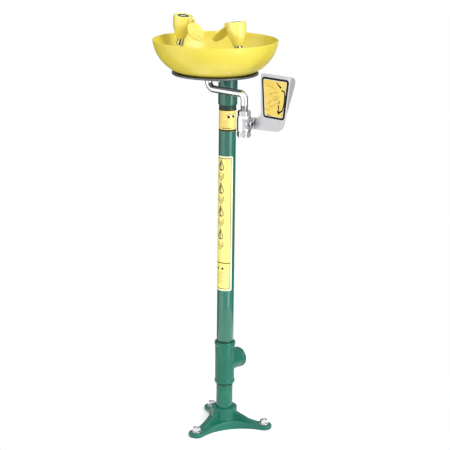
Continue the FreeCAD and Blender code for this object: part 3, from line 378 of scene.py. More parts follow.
class Graph:
    """Shader nodes of one tree, with short names for those used here."""

    def __init__(self, owner):
        owner.use_nodes = True
        self.tree = owner.node_tree

    def add(self, kind, inputs=(), **settings):
        node = self.tree.nodes.new(kind)
        for key, value in settings.items():
            setattr(node, key, value)
        for key, value in dict(inputs).items():
            self.feed(node.inputs[key], value)
        return node

    def feed(self, socket, value):
        if isinstance(value, bpy.types.NodeSocket):
            self.tree.links.new(value, socket)
        else:
            socket.default_value = value

    def math(self, operation, a, b=0.0, c=0.5):
        return self.add("ShaderNodeMath", {0: a, 1: b, 2: c}, operation=operation).outputs[0]

    def span(self, value, start, end, to_start=0.0, to_end=1.0, **settings):
        """Map a value between two limits onto a range, clamped."""
        inputs = {"Value": value, "From Min": start, "From Max": end, "To Min": to_start,
                  "To Max": to_end}
        return self.add("ShaderNodeMapRange", inputs, **settings).outputs["Result"]


class Surface(Graph):
    """One procedural material and its shader."""

    def __init__(self, slot, name):
        self.material = bpy.data.materials.new(name)
        self.material["slot"] = slot
        super().__init__(self.material)
        self.shader = self.tree.nodes["Principled BSDF"]

    def place(self):
        return self.add("ShaderNodeTexCoord").outputs["Object"]

    def stretched(self, x, y, z):
        mapping = self.add("ShaderNodeMapping", {"Vector": self.place(), "Scale": (x, y, z)})
        return mapping.outputs["Vector"]

    def noise(self, scale, detail=3.0, roughness=0.55, vector=None):
        inputs = {"Vector": vector or self.place(), "Scale": scale, "Detail": detail,
                  "Roughness": roughness}
        return self.add("ShaderNodeTexNoise", inputs).outputs["Fac"]

    def blend(self, share, a, b):
        return self.add("ShaderNodeMix", {0: share, 6: a, 7: b}, data_type="RGBA").outputs[2]

    def tinted(self, colour, share, strength, tint):
        """Colour with a tint laid over it where a mask shows."""
        return self.blend(self.math("MULTIPLY", share, strength), colour, tint)

    def pointiness(self):
        return self.add("ShaderNodeNewGeometry").outputs["Pointiness"]

    def bump(self, height, distance, strength=1.0, under=None):
        inputs = {"Height": height, "Distance": distance, "Strength": strength}
        if under:
            inputs["Normal"] = under
        return self.add("ShaderNodeBump", inputs).outputs["Normal"]

    def finish(self, colour, roughness, normal=None, **plain):
        self.feed(self.shader.inputs["Base Color"], colour)
        self.feed(self.shader.inputs["Roughness"], roughness)
        if normal:
            self.feed(self.shader.inputs["Normal"], normal)
        for key, value in plain.items():
            self.shader.inputs[key.replace("_", " ")].default_value = value
        return self.material


def rgb(red, green, blue):
    """Colour of a surface given as it looks on screen, 0 to 255."""
    channels = [value / 255 for value in (red, green, blue)]
    return (*[c / 12.92 if c < 0.04045 else ((c + 0.055) / 1.055) ** 2.4 for c in channels], 1)


def enamel(name, grain, grain_depth, coat):
    """Green coating with orange peel, drifting colour, lighter edges (partly paint worn thin, partly
    painted highlight) and painted shade in the corners.
    """
    look = Surface("green_coat", name)
    drift = look.noise(9, 4)
    colour = look.blend(look.span(drift, 0.3, 0.7), rgb(13, 92, 75), rgb(21, 106, 87))
    speckle = look.span(look.noise(1400, 2), 0.66, 0.74)
    colour = look.tinted(colour, speckle, 0.25, rgb(88, 160, 136))
    # Edges lighter green: partly paint worn thin, partly painted highlight where rounded edges catch
    # the light.
    edge = look.span(look.pointiness(), 0.53, 0.62)
    worn_and_highlit_edge = look.math("MULTIPLY", edge, look.span(look.noise(60), 0.42, 0.62))
    colour = look.tinted(colour, worn_and_highlit_edge, 0.55, rgb(96, 168, 146))
    # Painted shade: concave corners and creases are darkened towards a deep green.
    corner = look.span(look.pointiness(), 0.47, 0.40)
    colour = look.tinted(colour, corner, 0.5, rgb(16, 62, 52))
    roughness = look.span(look.noise(34, 5), 0.3, 0.72, 0.27, 0.44)
    peel = look.bump(look.noise(190, 2, 0.4), 0.0006, 0.35)
    grit = look.bump(look.noise(grain, 3), grain_depth, 0.5, peel)
    return look.finish(colour, roughness, grit, Specular_IOR_Level=0.2 + coat * 0.25,
                       Coat_Weight=coat, Coat_Roughness=0.06)


def moulded(slot, name, deep, bright, gloss, grain_depth, coat):
    """Yellow moulded plastic with flow marks, fine scuffs and a faint grain."""
    look = Surface(slot, name)
    flow = look.noise(14, 4, vector=look.stretched(1, 1, 0.35))
    colour = look.blend(look.span(flow, 0.32, 0.68), deep, bright)
    scuff = look.noise(260, 5, 0.7, vector=look.stretched(0.25, 1, 2.2))
    marks = look.span(scuff, 0.70, 0.80)
    colour = look.tinted(colour, marks, 0.18, rgb(255, 244, 176))
    rough = look.span(look.noise(45, 5), 0.3, 0.7, gloss[0], gloss[1])
    rough = look.math("ADD", rough, look.math("MULTIPLY", marks, 0.12))
    grain = look.bump(look.noise(1500, 2), grain_depth, 0.4)
    waves = look.bump(look.noise(26, 2), 0.0012, 0.12, grain)
    return look.finish(colour, rough, waves, Specular_IOR_Level=0.5, Subsurface_Weight=0.12,
                       Subsurface_Scale=0.004, Coat_Weight=coat, Coat_Roughness=0.06)


def plated(slot, name, dull, clean, gloss, ripple):
    """Bright metal with faint blotches, wiping marks, polishing ripple and painted shade in its
    creases.
    """
    look = Surface(slot, name)
    blotch = look.noise(70, 5)
    colour = look.blend(look.span(blotch, 0.35, 0.65), dull, clean)
    stain = look.span(look.noise(420, 4), 0.62, 0.75)
    colour = look.tinted(colour, stain, 0.22, rgb(120, 120, 124))
    wipes = look.noise(160, 4, 0.6, vector=look.stretched(1, 0.3, 3))
    rough = look.span(wipes, 0.3, 0.75, gloss[0], gloss[1])
    surface = look.bump(look.noise(220, 2), ripple, 0.25)
    # Painted shade: creases and hollows are darkened towards near black.
    crease_shade = look.span(look.pointiness(), 0.46, 0.36)
    colour = look.tinted(colour, crease_shade, 0.7, rgb(40, 40, 43))
    return look.finish(colour, rough, surface, Metallic=1.0)


def brushed(slot, name, dull, clean, gloss, direction):
    """Sheet metal with long brushing lines and a few deeper scratches."""
    look = Surface(slot, name)
    lines = look.noise(900, 3, 0.7, vector=look.stretched(*direction))
    cloud = look.noise(12, 4)
    colour = look.blend(look.span(cloud, 0.3, 0.7), dull, clean)
    colour = look.blend(look.span(lines, 0.35, 0.65, 0.0, 0.12), colour, rgb(120, 121, 126))
    rough = look.span(lines, 0.25, 0.75, gloss[0], gloss[1])
    fine = look.bump(lines, 0.00006, 0.5)
    scratch = look.noise(300, 2, 0.5, vector=look.stretched(*[value * 0.6 for value in direction]))
    deep = look.bump(look.span(scratch, 0.70, 0.74), 0.00005, 0.3, fine)
    return look.finish(colour, rough, deep, Metallic=1.0, Anisotropic=0.4)


def matte(slot, name, dark, light, rough, grain, grain_depth, **plain):
    """Rubber, tape or dull plastic with a fine grain."""
    look = Surface(slot, name)
    colour = look.blend(look.span(look.noise(40, 5), 0.3, 0.7), dark, light)
    roughness = look.span(look.noise(120, 4), 0.3, 0.7, rough[0], rough[1])
    surface = look.bump(look.noise(grain, 3), grain_depth, 0.5)
    return look.finish(colour, roughness, surface, **plain)


def ink(name, dark, light, rough=(0.4, 0.5), slot="dark_tape", **plain):
    """Thin print laid on a label."""
    return matte(slot, name, dark, light, rough, 1200, 0.00001, **plain)


def sheet_distance(look, width, height, corner):
    """Signed distance from a rounded sheet's edge, and place across it, both in metres.

    The sheet's UV map has its middle at 0, 0."""
    flat = look.add("ShaderNodeUVMap", uv_map="flat").outputs["UV"]
    parts = look.add("ShaderNodeSeparateXYZ", {"Vector": flat})
    u = look.math("SUBTRACT", look.math("ABSOLUTE", parts.outputs["X"]), (width / 2 - corner) * MM)
    v = look.math("SUBTRACT", look.math("ABSOLUTE", parts.outputs["Y"]), (height / 2 - corner) * MM)
    beyond_u = look.math("POWER", look.math("MAXIMUM", u, 0.0), 2.0)
    beyond_v = look.math("POWER", look.math("MAXIMUM", v, 0.0), 2.0)
    outside = look.math("SQRT", look.math("ADD", beyond_u, beyond_v))
    within = look.math("MINIMUM", look.math("MAXIMUM", u, v), 0.0)
    total = look.math("ADD", outside, within)
    return look.math("SUBTRACT", total, corner * MM), parts.outputs["X"]


def printed(slot, name, size, field, field_lit_end, bands):
    """Printed film: a field whose colour drifts at random and grows lighter from its left end to its
    right end as painted light and shade, then bands inwards from its edge.

    Each band is its depth in millimetres and its colour, the deepest first."""
    look = Surface(slot, name)
    distance, across = sheet_distance(look, *size)
    half = size[0] / 2 * MM
    # Painted light and shade: the field is darker at its left end and lighter at its right end, where
    # the light falls.
    colour = look.blend(look.span(across, -half, half), field, field_lit_end)
    drift = look.span(look.noise(30, 4), 0.3, 0.7, 0.0, 0.22)
    colour = look.blend(drift, colour, rgb(255, 246, 190))
    for depth, band in bands:
        share = look.span(distance, (-depth - 0.08) * MM, (-depth + 0.08) * MM)
        colour = look.blend(share, colour, band)
    worn = look.span(look.noise(700, 4), 0.68, 0.78, 0.0, 0.25)
    colour = look.blend(worn, colour, rgb(214, 204, 160))
    rough = look.span(look.noise(90, 4), 0.3, 0.7, 0.28, 0.42)
    film = look.bump(look.noise(150, 2), 0.0003, 0.15)
    return look.finish(colour, rough, film, Specular_IOR_Level=0.45, Coat_Weight=0.2,
                       Coat_Roughness=0.2)


GREEN = enamel("look_green_pipe", 2600, 0.00003, 0.75)
GREEN_CAST = enamel("look_green_casting", 900, 0.00016, 0.2)
HEAD_YELLOW = moulded("yellow_plastic", "look_yellow_head", rgb(230, 216, 92), rgb(238, 226, 116),
                      (0.16, 0.26), 0.00002, 0.8)
BOWL_YELLOW = moulded("bowl_plastic", "look_yellow_bowl", rgb(219, 202, 66), rgb(229, 213, 84),
                      (0.30, 0.42), 0.00004, 0.2)
CHROME = plated("chrome", "look_chrome", rgb(214, 215, 218), rgb(236, 237, 240),
                (0.05, 0.14), 0.0001)
CAST_CHROME = plated("chrome", "look_cast_chrome", rgb(226, 227, 230), rgb(246, 247, 250),
                     (0.10, 0.22), 0.0003)
TUBE_CHROME = plated("chrome", "look_tube", rgb(218, 220, 222), rgb(238, 240, 242),
                     (0.12, 0.22), 0.0001)
ZINC = plated("zinc", "look_zinc", rgb(196, 198, 202), rgb(228, 230, 234), (0.16, 0.32), 0.0002)
STEEL = brushed("stainless", "look_stainless", rgb(186, 186, 188), rgb(200, 200, 202),
                (0.32, 0.46), (1, 1, 0.03))
TURNED_STEEL = plated("stainless", "look_turned_steel", rgb(190, 191, 195), rgb(222, 223, 226),
                      (0.18, 0.3), 0.0001)
BRACKET = matte("bracket_grey", "look_bracket", rgb(150, 152, 156), rgb(176, 178, 182), (0.35, 0.5),
                1100, 0.0002, Metallic=0.85)
DISH_GREY = matte("plate_grey", "look_dish", rgb(92, 96, 99), rgb(110, 114, 117), (0.30, 0.42),
                  1600, 0.00005, Metallic=0.55)
RUBBER = matte("black_rubber", "look_rubber", rgb(22, 22, 23), rgb(34, 34, 35), (0.5, 0.65),
               1800, 0.00008)
WHITE = matte("white_plastic", "look_white", rgb(224, 224, 220), rgb(240, 240, 236), (0.35, 0.45),
              1500, 0.00003)
# Painted shade: a dark green for the thread turns where a pipe enters a fitting, where shade falls at
# the joint.
THREAD_SHADE = matte("green_coat", "look_thread_shade", rgb(6, 40, 34), rgb(12, 54, 46), (0.4, 0.55),
                    1800, 0.00005)
SATIN_CHROME = plated("chrome", "look_satin_chrome", rgb(232, 233, 236), rgb(246, 247, 250),
                      (0.3, 0.42), 0.0001)
DARK_STEEL = plated("stainless", "look_dark_steel", rgb(70, 71, 75), rgb(100, 101, 106),
                    (0.2, 0.32), 0.0001)
BRASS = plated("brass", "look_brass", rgb(196, 160, 84), rgb(222, 186, 106), (0.18, 0.3), 0.0001)
TAPE = matte("dark_tape", "look_tape", rgb(150, 151, 155), rgb(186, 188, 192), (0.12, 0.24),
             900, 0.0002, Metallic=1.0)
INK = ink("look_ink", rgb(10, 9, 7), rgb(24, 21, 17), (0.5, 0.6), Specular_IOR_Level=0.2)
BROWN_INK = ink("look_brown_ink", rgb(84, 74, 40), rgb(104, 92, 50))
TAN_INK = ink("look_tan_ink", rgb(178, 132, 44), rgb(196, 150, 58))
FAINT_INK = ink("look_faint_ink", rgb(172, 150, 70), rgb(190, 168, 84))
WHITE_INK = ink("look_white_ink", rgb(236, 236, 230), rgb(248, 248, 244), (0.35, 0.45),
                "white_plastic")
SLOT_LOOKS = {
    "green_coat": GREEN, "zinc": ZINC, "chrome": CHROME, "stainless": TURNED_STEEL,
    "bracket_grey": BRACKET, "plate_grey": DISH_GREY, "yellow_plastic": HEAD_YELLOW,
    "bowl_plastic": BOWL_YELLOW, "black_rubber": RUBBER, "white_plastic": WHITE, "brass": BRASS,
    "dark_tape": TAPE,
}


# Pedestal

PIPE_PITCH = 2.2
STUD_PITCH = 1.75
ANCHORS = 3
ANCHOR_CIRCLE_R = 104.6


def thread(radius, depth, pitch, start, end):
    """Ripple that cuts a screw thread into the part of an outline between two heights."""
    def ripple(angle, r, z):
        if not start < z < end or abs(r - radius) > 0.01:
            return r
        turn = (z / pitch - angle / (2 * math.pi)) % 1
        fade = min(1, (z - start) / pitch, (end - z) / pitch)
        return r - depth * fade * abs(2 * turn - 1)
    return ripple


def threaded_wall(radius, start, end, pitch):
    """Points close enough together along a wall to carry a thread."""
    return [(radius, z) for z in steps_between(start, end, pitch / 8)]


def pipe(name, node, material, exposed):
    """Pipe with, between each pair of levels given as exposed, open turns of thread."""
    bottom, top = levels(node)
    radius, bore_r = high(node).x / MM, 17.5
    wall = []
    ripples = []
    for start, end in exposed:
        wall += threaded_wall(radius, start, end, PIPE_PITCH)
        ripples.append(thread(radius, 1.0, PIPE_PITCH, start, end))
    outline = [(bore_r, bottom), (radius, bottom)] + wall + [(radius, top), (bore_r, top)]

    def ripple(angle, r, z):
        for cut in ripples:
            r = cut(angle, r, z)
        return r
    show(name, turned(outline, 128, ripple=ripple), material, (node,))


def flange_and_anchors():
    cast("flange_casting", "floor_flange", GREEN_CAST, voxel=1.25, softness=9)
    washer_low, washer_high = levels("anchor_washers")
    nut_high = levels("anchor_nuts")[1]
    ring = [(6.75, washer_low, 0), (12, washer_low, 0.3), (12, washer_high, 0.9),
            (6.75, washer_high, 0.5)]
    washers, nuts, studs = [], [], []
    for i in range(ANCHORS):
        place = Matrix.Rotation(2 * math.pi * i / ANCHORS, 4, "Z")
        place @= Matrix.Translation((0, -ANCHOR_CIRCLE_R, 0))
        for made, bm in (
            (washers, lathe(ring, 64)),
            (nuts, hexagonal(18, washer_high, nut_high, 6.4)),
            (studs, stud(6.1, washer_low, nut_high - 0.2)),
        ):
            bm.transform(place)
            made.append(bm)
    show("anchor_washers_turned", joined(*washers), ZINC, ("anchor_washers",))
    show("anchor_nuts_bevelled", joined(*nuts), ZINC, ("anchor_nuts",))
    show("anchor_studs", joined(*studs), ZINC)


def stud(radius, bottom, top):
    """Threaded rod end with a bevelled tip."""
    wall = threaded_wall(radius, bottom + 1, top - 1.2, STUD_PITCH)
    outline = [(0, bottom), (radius, bottom)] + wall + [(radius - 1, top), (0, top)]
    ripple = thread(radius, 0.7, STUD_PITCH, bottom, top - 1)
    return turned(outline, 48, closed=False, ripple=ripple)


def tee():
    cast("tee_casting", "waste_tee", GREEN_CAST, voxel=0.95, softness=7)
    # The branch's thread lines its bore from 2 to 20 mm above the bore's inner end.
    radius, start, end, depth = 21.05, 2, 20, 22
    axis_level = 171
    wall = threaded_wall(radius, start, end, PIPE_PITCH)
    outline = wall + [(radius + 0.6, end), (radius + 0.6, start)]
    lining = turned(outline, 96, ripple=thread(radius, 0.9, PIPE_PITCH, start, end))
    inner_end = Vector((0, high("waste_tee").y - depth * MM, axis_level * MM))
    show("tee_branch_thread", lining, GREEN, (), aimed(inner_end, Y_AXIS))


def open_thread(name, start, end):
    """Last turns of a pipe's thread, left open where it enters a fitting, coloured dark green as
    painted shade at the joint.
    """
    radius = high("pedestal_pipe").x / MM + 0.25
    wall = threaded_wall(radius, start, end, PIPE_PITCH)
    ring = turned([(radius - 0.6, start)] + wall + [(radius - 0.6, end)], 128,
                  ripple=thread(radius, 0.5, PIPE_PITCH, start, end))
    # The dark green ring is painted shade at the joint.
    show(name, ring, THREAD_SHADE)


def coupling():
    bottom, top = levels("upper_coupling")
    radius, bore_r = high("upper_coupling").x / MM, 21.1
    sleeve = lathe([(bore_r, bottom, 0.4), (radius - 0.6, bottom, 0.8), (radius, bottom + 1.2, 0.8),
                    (radius, top - 1.2, 0.8), (radius - 0.6, top, 0.8), (bore_r, top, 0.4)], 128)
    show("upper_coupling_turned", sleeve, GREEN, ("upper_coupling",))


def open_threads():
    open_thread("upper_thread", levels("identity_label")[1] + 0.2, levels("upper_coupling")[0])
    tee_low, tee_high = levels("waste_tee")
    open_thread("tee_upper_thread", tee_high - 0.3, tee_high + 2.6)
    open_thread("tee_lower_thread", tee_low - 3.4, tee_low + 0.3)


# Labels

def wrapped(radius, centre, turn):
    """Bend for a label: flat points, in millimetres from its middle, onto the pipe."""
    def bend(u, v):
        angle = math.radians(turn) + u / radius
        normal = Vector((math.sin(angle), -math.cos(angle), 0))
        return normal * radius + Vector((0, 0, centre + v)), normal
    return bend


def rectangle(width, height, corner):
    half_w, half_h = width / 2, height / 2
    points = [(-half_w, -half_h), (half_w, -half_h), (half_w, half_h), (-half_w, half_h)]
    return rounded([(*point, corner) for point in points])


def stroke(points, width, end_width=None):
    """Line of a drawing as a closed outline, which may taper."""
    end_width = width if end_width is None else end_width
    left, right = [], []
    for i, point in enumerate(points):
        here = Vector(point)
        before = Vector(points[max(i - 1, 0)])
        after = Vector(points[min(i + 1, len(points) - 1)])
        ahead = (after - before).normalized()
        side = Vector((-ahead.y, ahead.x))
        half = (width + (end_width - width) * i / (len(points) - 1)) / 2
        left.append(here + side * half)
        right.append(here - side * half)
    return left + right[::-1]


def disc(x, y, radius_x, radius_y=None, count=20):
    radius_y = radius_x if radius_y is None else radius_y
    angles = [2 * math.pi * i / count for i in range(count)]
    return [(x + radius_x * math.cos(a), y + radius_y * math.sin(a)) for a in angles]


def drop_outline(x, y, size):
    """Closed outline of a falling drop, its point upwards."""
    arc = [math.radians(a) for a in range(-215, 36, 10)]
    tip = (x, y + size * 1.05)
    bulb = [(x + size * 0.5 * math.cos(a), y - size * 0.3 + size * 0.5 * math.sin(a)) for a in arc]
    return [tip] + bulb


def print_on(name, shapes, bend, ink, body="stand", spacing=SHEET_STEP, lift=0.05):
    """Flat shapes laid on a bent sheet as one thin layer of ink."""
    layers = []
    for outline in shapes:
        xs = [point[0] for point in outline]
        ys = [point[1] for point in outline]
        columns = steps_between(min(xs) + 0.1, max(xs) - 0.1, spacing)
        rows = steps_between(min(ys) + 0.1, max(ys) - 0.1, spacing * 4)

        def raised(u, v):
            point, normal = bend(u, v)
            return point + normal * lift, normal
        layers.append(skin(outline, lift + 0.02, raised, columns, rows))
    show(name, joined(*layers), ink, body=body)


def label_film(name, node, radius, half_angle, turn, corner, colours, bands, shorter, spacing):
    """Label wrapped round the pipe; returns its width, height, middle level and bend."""
    bottom, top = levels(node)
    width, height = 2 * math.radians(half_angle) * radius, top - bottom
    centre = (bottom + top) / 2
    # The two end colours are painted shade at the label's left end and painted light at its right end.
    slot, look_name, shaded_end_colour, lit_end_colour = colours
    look = printed(slot, look_name, (width, height, corner), shaded_end_colour, lit_end_colour, bands)
    bend = wrapped(radius, centre, turn)
    sheet = skin(rectangle(width, height - shorter, corner), FILM_THICKNESS, bend,
                 steps_between(-width / 2, width / 2, SHEET_STEP),
                 steps_between(-height / 2, height / 2, spacing))
    show(name, sheet, look, (node,))
    return width, height, centre, bend


def instruction_label():
    node = "instruction_label"
    cream, line = rgb(240, 236, 190), rgb(66, 44, 22)
    width, _, centre, bend = label_film(
        "instruction_label_film", node, -low(node).y / MM, 84.5, 0, 4.5,
        # Painted shade at the label's left end, painted light at its right end.
        ("pale_label", "look_long_label", rgb(228, 212, 104), rgb(232, 218, 116)),
        ((6.4, line), (4.5, cream)), 0.6, 12)
    rule_level, dot_level, first_bar_level = 439.6, 425, 415
    first_mark_level, mark_spacing = 688, 29.2
    divider = rule_level - centre
    rule = stroke([(-width / 2 + 5.2, divider), (width / 2 - 5.2, divider)], 2.2)
    print_on("instruction_label_rule", [rule], bend, INK)
    marks = []
    for i in range(8):
        y = first_mark_level - centre - mark_spacing * i
        if i % 2:
            marks.append(stroke([(-9, y + 3), (0, y - 9), (9, y + 3)], 1.9))
            marks.append(stroke([(-9, y + 10), (0, y - 2), (9, y + 10)], 1.9))
        else:
            drop = drop_outline(0, y, 15)
            marks.append(stroke(drop + drop[:2], 1.6))
    print_on("instruction_label_print", marks, bend, BROWN_INK)
    dots = [disc(x, dot_level - centre, 3.4, 2.8) for x in (-7.0, 7.0)]
    print_on("instruction_label_dots", dots, bend, INK)
    bars = []
    for i, length in enumerate((12, 9, 13, 7, 12, 10)):
        y = first_bar_level - centre - 5.4 * i
        bars.append(stroke([(-13, y), (length, y)], 1.2))
    print_on("instruction_label_bars", bars, bend, FAINT_INK)


def eye_outline(x, y, wide, tall, slant):
    """Almond shape of an eye, turned by an angle in degrees."""
    turn = math.radians(slant)
    points = []
    for i in range(24):
        a = 2 * math.pi * i / 24
        u = wide / 2 * math.cos(a)
        v = tall / 2 * math.sin(a) * abs(math.sin(a)) ** 0.4
        points.append((x + u * math.cos(turn) - v * math.sin(turn),
                       y + u * math.sin(turn) + v * math.cos(turn)))
    return points


def identity_label():
    node = "identity_label"
    radius = high(node).x / MM
    turn = 30
    width, height, _, bend = label_film(
        "identity_label_film", node, radius, 119.5, turn, 0.6,
        # Painted shade at the label's left end, painted light at its right end.
        ("gold_label", "look_short_label", rgb(222, 184, 80), rgb(240, 222, 110)), (), 0, 9)
    half = width / 2 - 0.1
    lines = [stroke([(-half, height / 2 - 1.7), (half, height / 2 - 1.7)], 3.2),
             stroke([(-half, 2.3 - height / 2), (half, 2.3 - height / 2)], 4.2)]
    print_on("identity_label_lines", lines, bend, INK)

    def across(angle):
        """Flat place of a point at an angle, in degrees, round the pipe from its front."""
        return math.radians(angle - turn) * radius
    eyes = [(across(53), 9.5), (across(86), 10.5)]
    whites = [eye_outline(x, y, 11, 6.2, 12) for x, y in eyes]
    print_on("identity_label_whites", whites, bend, WHITE_INK)
    irises = [disc(x - 1.2, y - 0.4, 3.9, 3.1) for x, y in eyes]
    brows = [stroke([(x - 7, y + 2.5), (x - 1, y + 6.6), (x + 6.5, y + 5.0)], 1.3, 0.7)
             for x, y in eyes]
    print_on("identity_label_eyes", irises + brows, bend, INK, lift=0.09)
    foot_level = 8.2 - height / 2
    foot = [stroke([(across(4), foot_level), (across(66), foot_level)], 2.3)]
    print_on("identity_label_foot", foot, bend, BROWN_INK)
    bars = []
    start = across(12)
    for i, length in enumerate((15, 19, 12, 17, 20)):
        y = -1.5 - 4.4 * i
        bars.append(stroke([(start, y), (start + length, y)], 1.0))
        bars.append(stroke([(start + 28, y), (start + 28 + length * 0.7, y)], 1.0))
    print_on("identity_label_bars", bars, bend, FAINT_INK)


def pedestal():
    flange_and_anchors()
    pipe("lower_nipple_turned", "lower_nipple", GREEN_CAST, exposed=((110.5, 118),))
    tee()
    pipe("pedestal_pipe_turned", "pedestal_pipe", GREEN, exposed=((228, 233.5), (829, 839)))
    coupling()
    open_threads()
    instruction_label()
    identity_label()


# Bowl, dish and drain

def bored(bm, name, place, holes, material, node):
    """Show a turned part with round holes cut through it, each its x, y and radius in metres."""
    cutters = []
    for x, y, radius in holes:
        rod = turned([(0, -0.2), (radius, -0.2), (radius, 0.2), (0, 0.2)], 96, closed=False)
        rod.transform(Matrix.Translation((x, y, middle(node).z)))
        cutters.append(rod)
    cutter_mesh = bpy.data.meshes.new("cutter")
    joined(*cutters).to_mesh(cutter_mesh)
    cutter = linked("cutter", cutter_mesh)
    settings = {"operation": "DIFFERENCE", "solver": "EXACT", "object": cutter}
    result = modified(placed(name, bm, place), name, [("BOOLEAN", settings)])
    bpy.data.objects.remove(cutter)
    show_mesh(name, result, material, (node,))


def floor_openings(drain_radius):
    """Holes shared by the bowl's and the dish's floors: drain, supply tube and bolt."""
    supply = middle("supply_gasket")
    bolt = middle("bracket_bolt")
    supply_r, bolt_r = 0.0097, 0.0025
    return [(0.0, 0.0, drain_radius), (supply.x, supply.y, supply_r), (bolt.x, bolt.y, bolt_r)]


def bowl():
    inner, outer = [], []
    # The side is an arc from the flat foot to the shoulder, then nearly straight to the rim.
    foot_r, shoulder_r, shoulder_up, side_r, wall = 82.0, 149.8, 73.0, 92.0, 3.0
    chord = Vector((shoulder_r - foot_r, shoulder_up))
    half = chord.length / 2
    to_centre = Vector((-chord.y, chord.x)).normalized() * math.sqrt(side_r ** 2 - half ** 2)
    hub = Vector((foot_r, 0)) + chord / 2 + to_centre
    start = math.atan2(-hub.y, foot_r - hub.x)
    end = math.atan2(shoulder_up - hub.y, shoulder_r - hub.x)
    for angle in steps_between(start, end, math.radians(2)):
        spoke = Vector((math.cos(angle), math.sin(angle)))
        outer.append(hub + spoke * side_r)
        inner.append(hub + spoke * (side_r - wall))
    rim = rounded([(shoulder_r, shoulder_up, 0), (151.35, 79.9, 1.5), (148.5, 79.9, 1.4),
                   (shoulder_r - wall, shoulder_up, 0)], closed=False)
    outline = [Vector((0, 0)), Vector((foot_r - 3, 0))] + outer + rim[1:-1] + inner[::-1]
    outline += [Vector((foot_r - 4, wall)), Vector((0, wall))]
    shell = turned(outline, 192, closed=False)
    centre = middle("bowl")
    place = Matrix.Translation((centre.x, centre.y, low("bowl").z))
    bored(shell, "bowl_shell", place, floor_openings(0.0185), BOWL_YELLOW, "bowl")


def dish():
    centre = middle("bowl")
    bottom, top = levels("support_dish")
    bead_r, sheet, flat_r = 2.6, 1.8, 45
    bead_level = top - bead_r
    edge_r = high("support_dish").x / MM - bead_r
    edge_low = Vector((edge_r, bead_level - sheet / 2))
    edge_high = Vector((edge_r, bead_level + sheet / 2))
    bead = [Vector((edge_r, bead_level)) + bead_r * Vector((math.cos(a), math.sin(a)))
            for a in [math.radians(d) for d in range(-140, 151, 10)]]
    lower = rounded([(0, bottom, 0), (flat_r, bottom, 30), (*edge_low, 0)], closed=False)
    upper = rounded([(*edge_high, 0), (flat_r, bottom + sheet, 30), (0, bottom + sheet, 0)],
                    closed=False)
    shell = turned(lower[:-1] + bead + upper[1:], 160, closed=False)
    bored(shell, "support_dish_spun", upright(centre.x, centre.y), floor_openings(0.0273),
          DISH_GREY, "support_dish")


def bracket_and_fastener():
    cast("bracket_casting", "bowl_bracket", BRACKET, voxel=0.8, softness=5)
    bolt = middle("bracket_bolt")
    nut_low, nut_high = levels("bracket_cap_nut")
    dome = lathe([(0, nut_low, 0), (3.9, nut_low, 3.4), (3.9, nut_low + 5, 0),
                  (0, nut_low + 5, 0)], 48)
    cap = joined(dome, hexagonal(9, nut_high - 6, nut_high, 2.0))
    show("bracket_cap_nut_domed", cap, CHROME, ("bracket_cap_nut",), upright(bolt.x, bolt.y))
    machined("bracket_bolt_turned", "bracket_bolt", CHROME, 0.3)


def drain_fittings():
    tail_low, flange_high = levels("drain_body")
    seat = levels("drain_gasket")[1]
    cup = lathe([(15, tail_low, 0.4), (18.4, tail_low, 0.4), (18.4, seat, 0), (27, seat, 0.4),
                 (27, seat + 1.2, 0.6), (24, flange_high, 1.2), (17, flange_high, 1),
                 (15, seat, 1)])
    bar_low = levels("strainer_screw")[0]
    bar = extruded([(-15.5, -3), (15.5, -3), (15.5, 3), (-15.5, 3)], bar_low, bar_low + 6, 0.5)
    show("drain_body_turned", joined(cup, bar), CHROME, ("drain_body",))
    machined("drain_strainer_pressed", "drain_strainer", TURNED_STEEL, 0.25)
    top = levels("drain_strainer")[1]
    screw = lathe([(0, top + 1.8, 0), (2.2, top + 1.8, 1.5), (3.5, top + 0.3, 0.3),
                   (3.5, top, 0), (0, top, 0)], 48)
    show("strainer_screw_domed", screw, TURNED_STEEL, ("strainer_screw",))
    blades = []
    for angle in (0, math.pi / 2):
        blade = extruded([(-2.2, -0.35), (2.2, -0.35), (2.2, 0.35), (-2.2, 0.35)],
                         top + 1.45, top + 1.79, 0.05)
        blade.transform(Matrix.Rotation(angle, 4, "Z"))
        blades.append(blade)
    show("strainer_screw_cross", joined(*blades), RUBBER)


def bowl_group():
    bowl()
    dish()
    bracket_and_fastener()
    drain_fittings()


# Supply tube, yoke and spray heads

TILT = 8
HINGE_REACH, HINGE_UP = 29.5, 52.5
TUBE_R, TUBE_BORE_R = 8.65, 6.5
ARM_R, ARM_BORE_R = 7.95, 6.2
HEAD_AXES = {sign: Vector((-sign * math.sin(math.radians(TILT)), 0, math.cos(math.radians(TILT))))
             for side, sign in SIDES}


def head_place(side, sign):
    """Frame whose origin is the foot of a spray head and whose z axis is the head's own."""
    collar = middle(side + "_head_collar")
    return aimed(collar + HEAD_AXES[sign] * 0.008, HEAD_AXES[sign])


def supply_line():
    centre_y = middle("supply_tube").y / MM
    valve_x = middle("thread_tape").x / MM
    top = levels("supply_tube")[1]
    tape_low, tape_high = levels("thread_tape")
    run_level = 886
    path = rounded([(0, centre_y, top, 0), (0, centre_y, run_level, 18),
                    (valve_x, centre_y, run_level, 28), (valve_x, centre_y, tape_high, 0)],
                   closed=False, step=4)
    show("supply_tube_bent", swept(path, TUBE_R, TUBE_BORE_R, 64), TUBE_CHROME, ("supply_tube",))
    radius, pitch = 8.85, 1.81
    wall = threaded_wall(radius, tape_low - 3, tape_high, pitch)
    outline = [(6.8, tape_low - 12), (8.0, tape_low - 12)] + wall + [(6.8, tape_high + 0.4)]
    tape = turned(outline, 96, ripple=thread(radius, 0.75, pitch, tape_low - 3, tape_high + 1))
    show("thread_tape_wound", tape, TAPE, ("thread_tape",), upright(valve_x * MM, centre_y * MM))


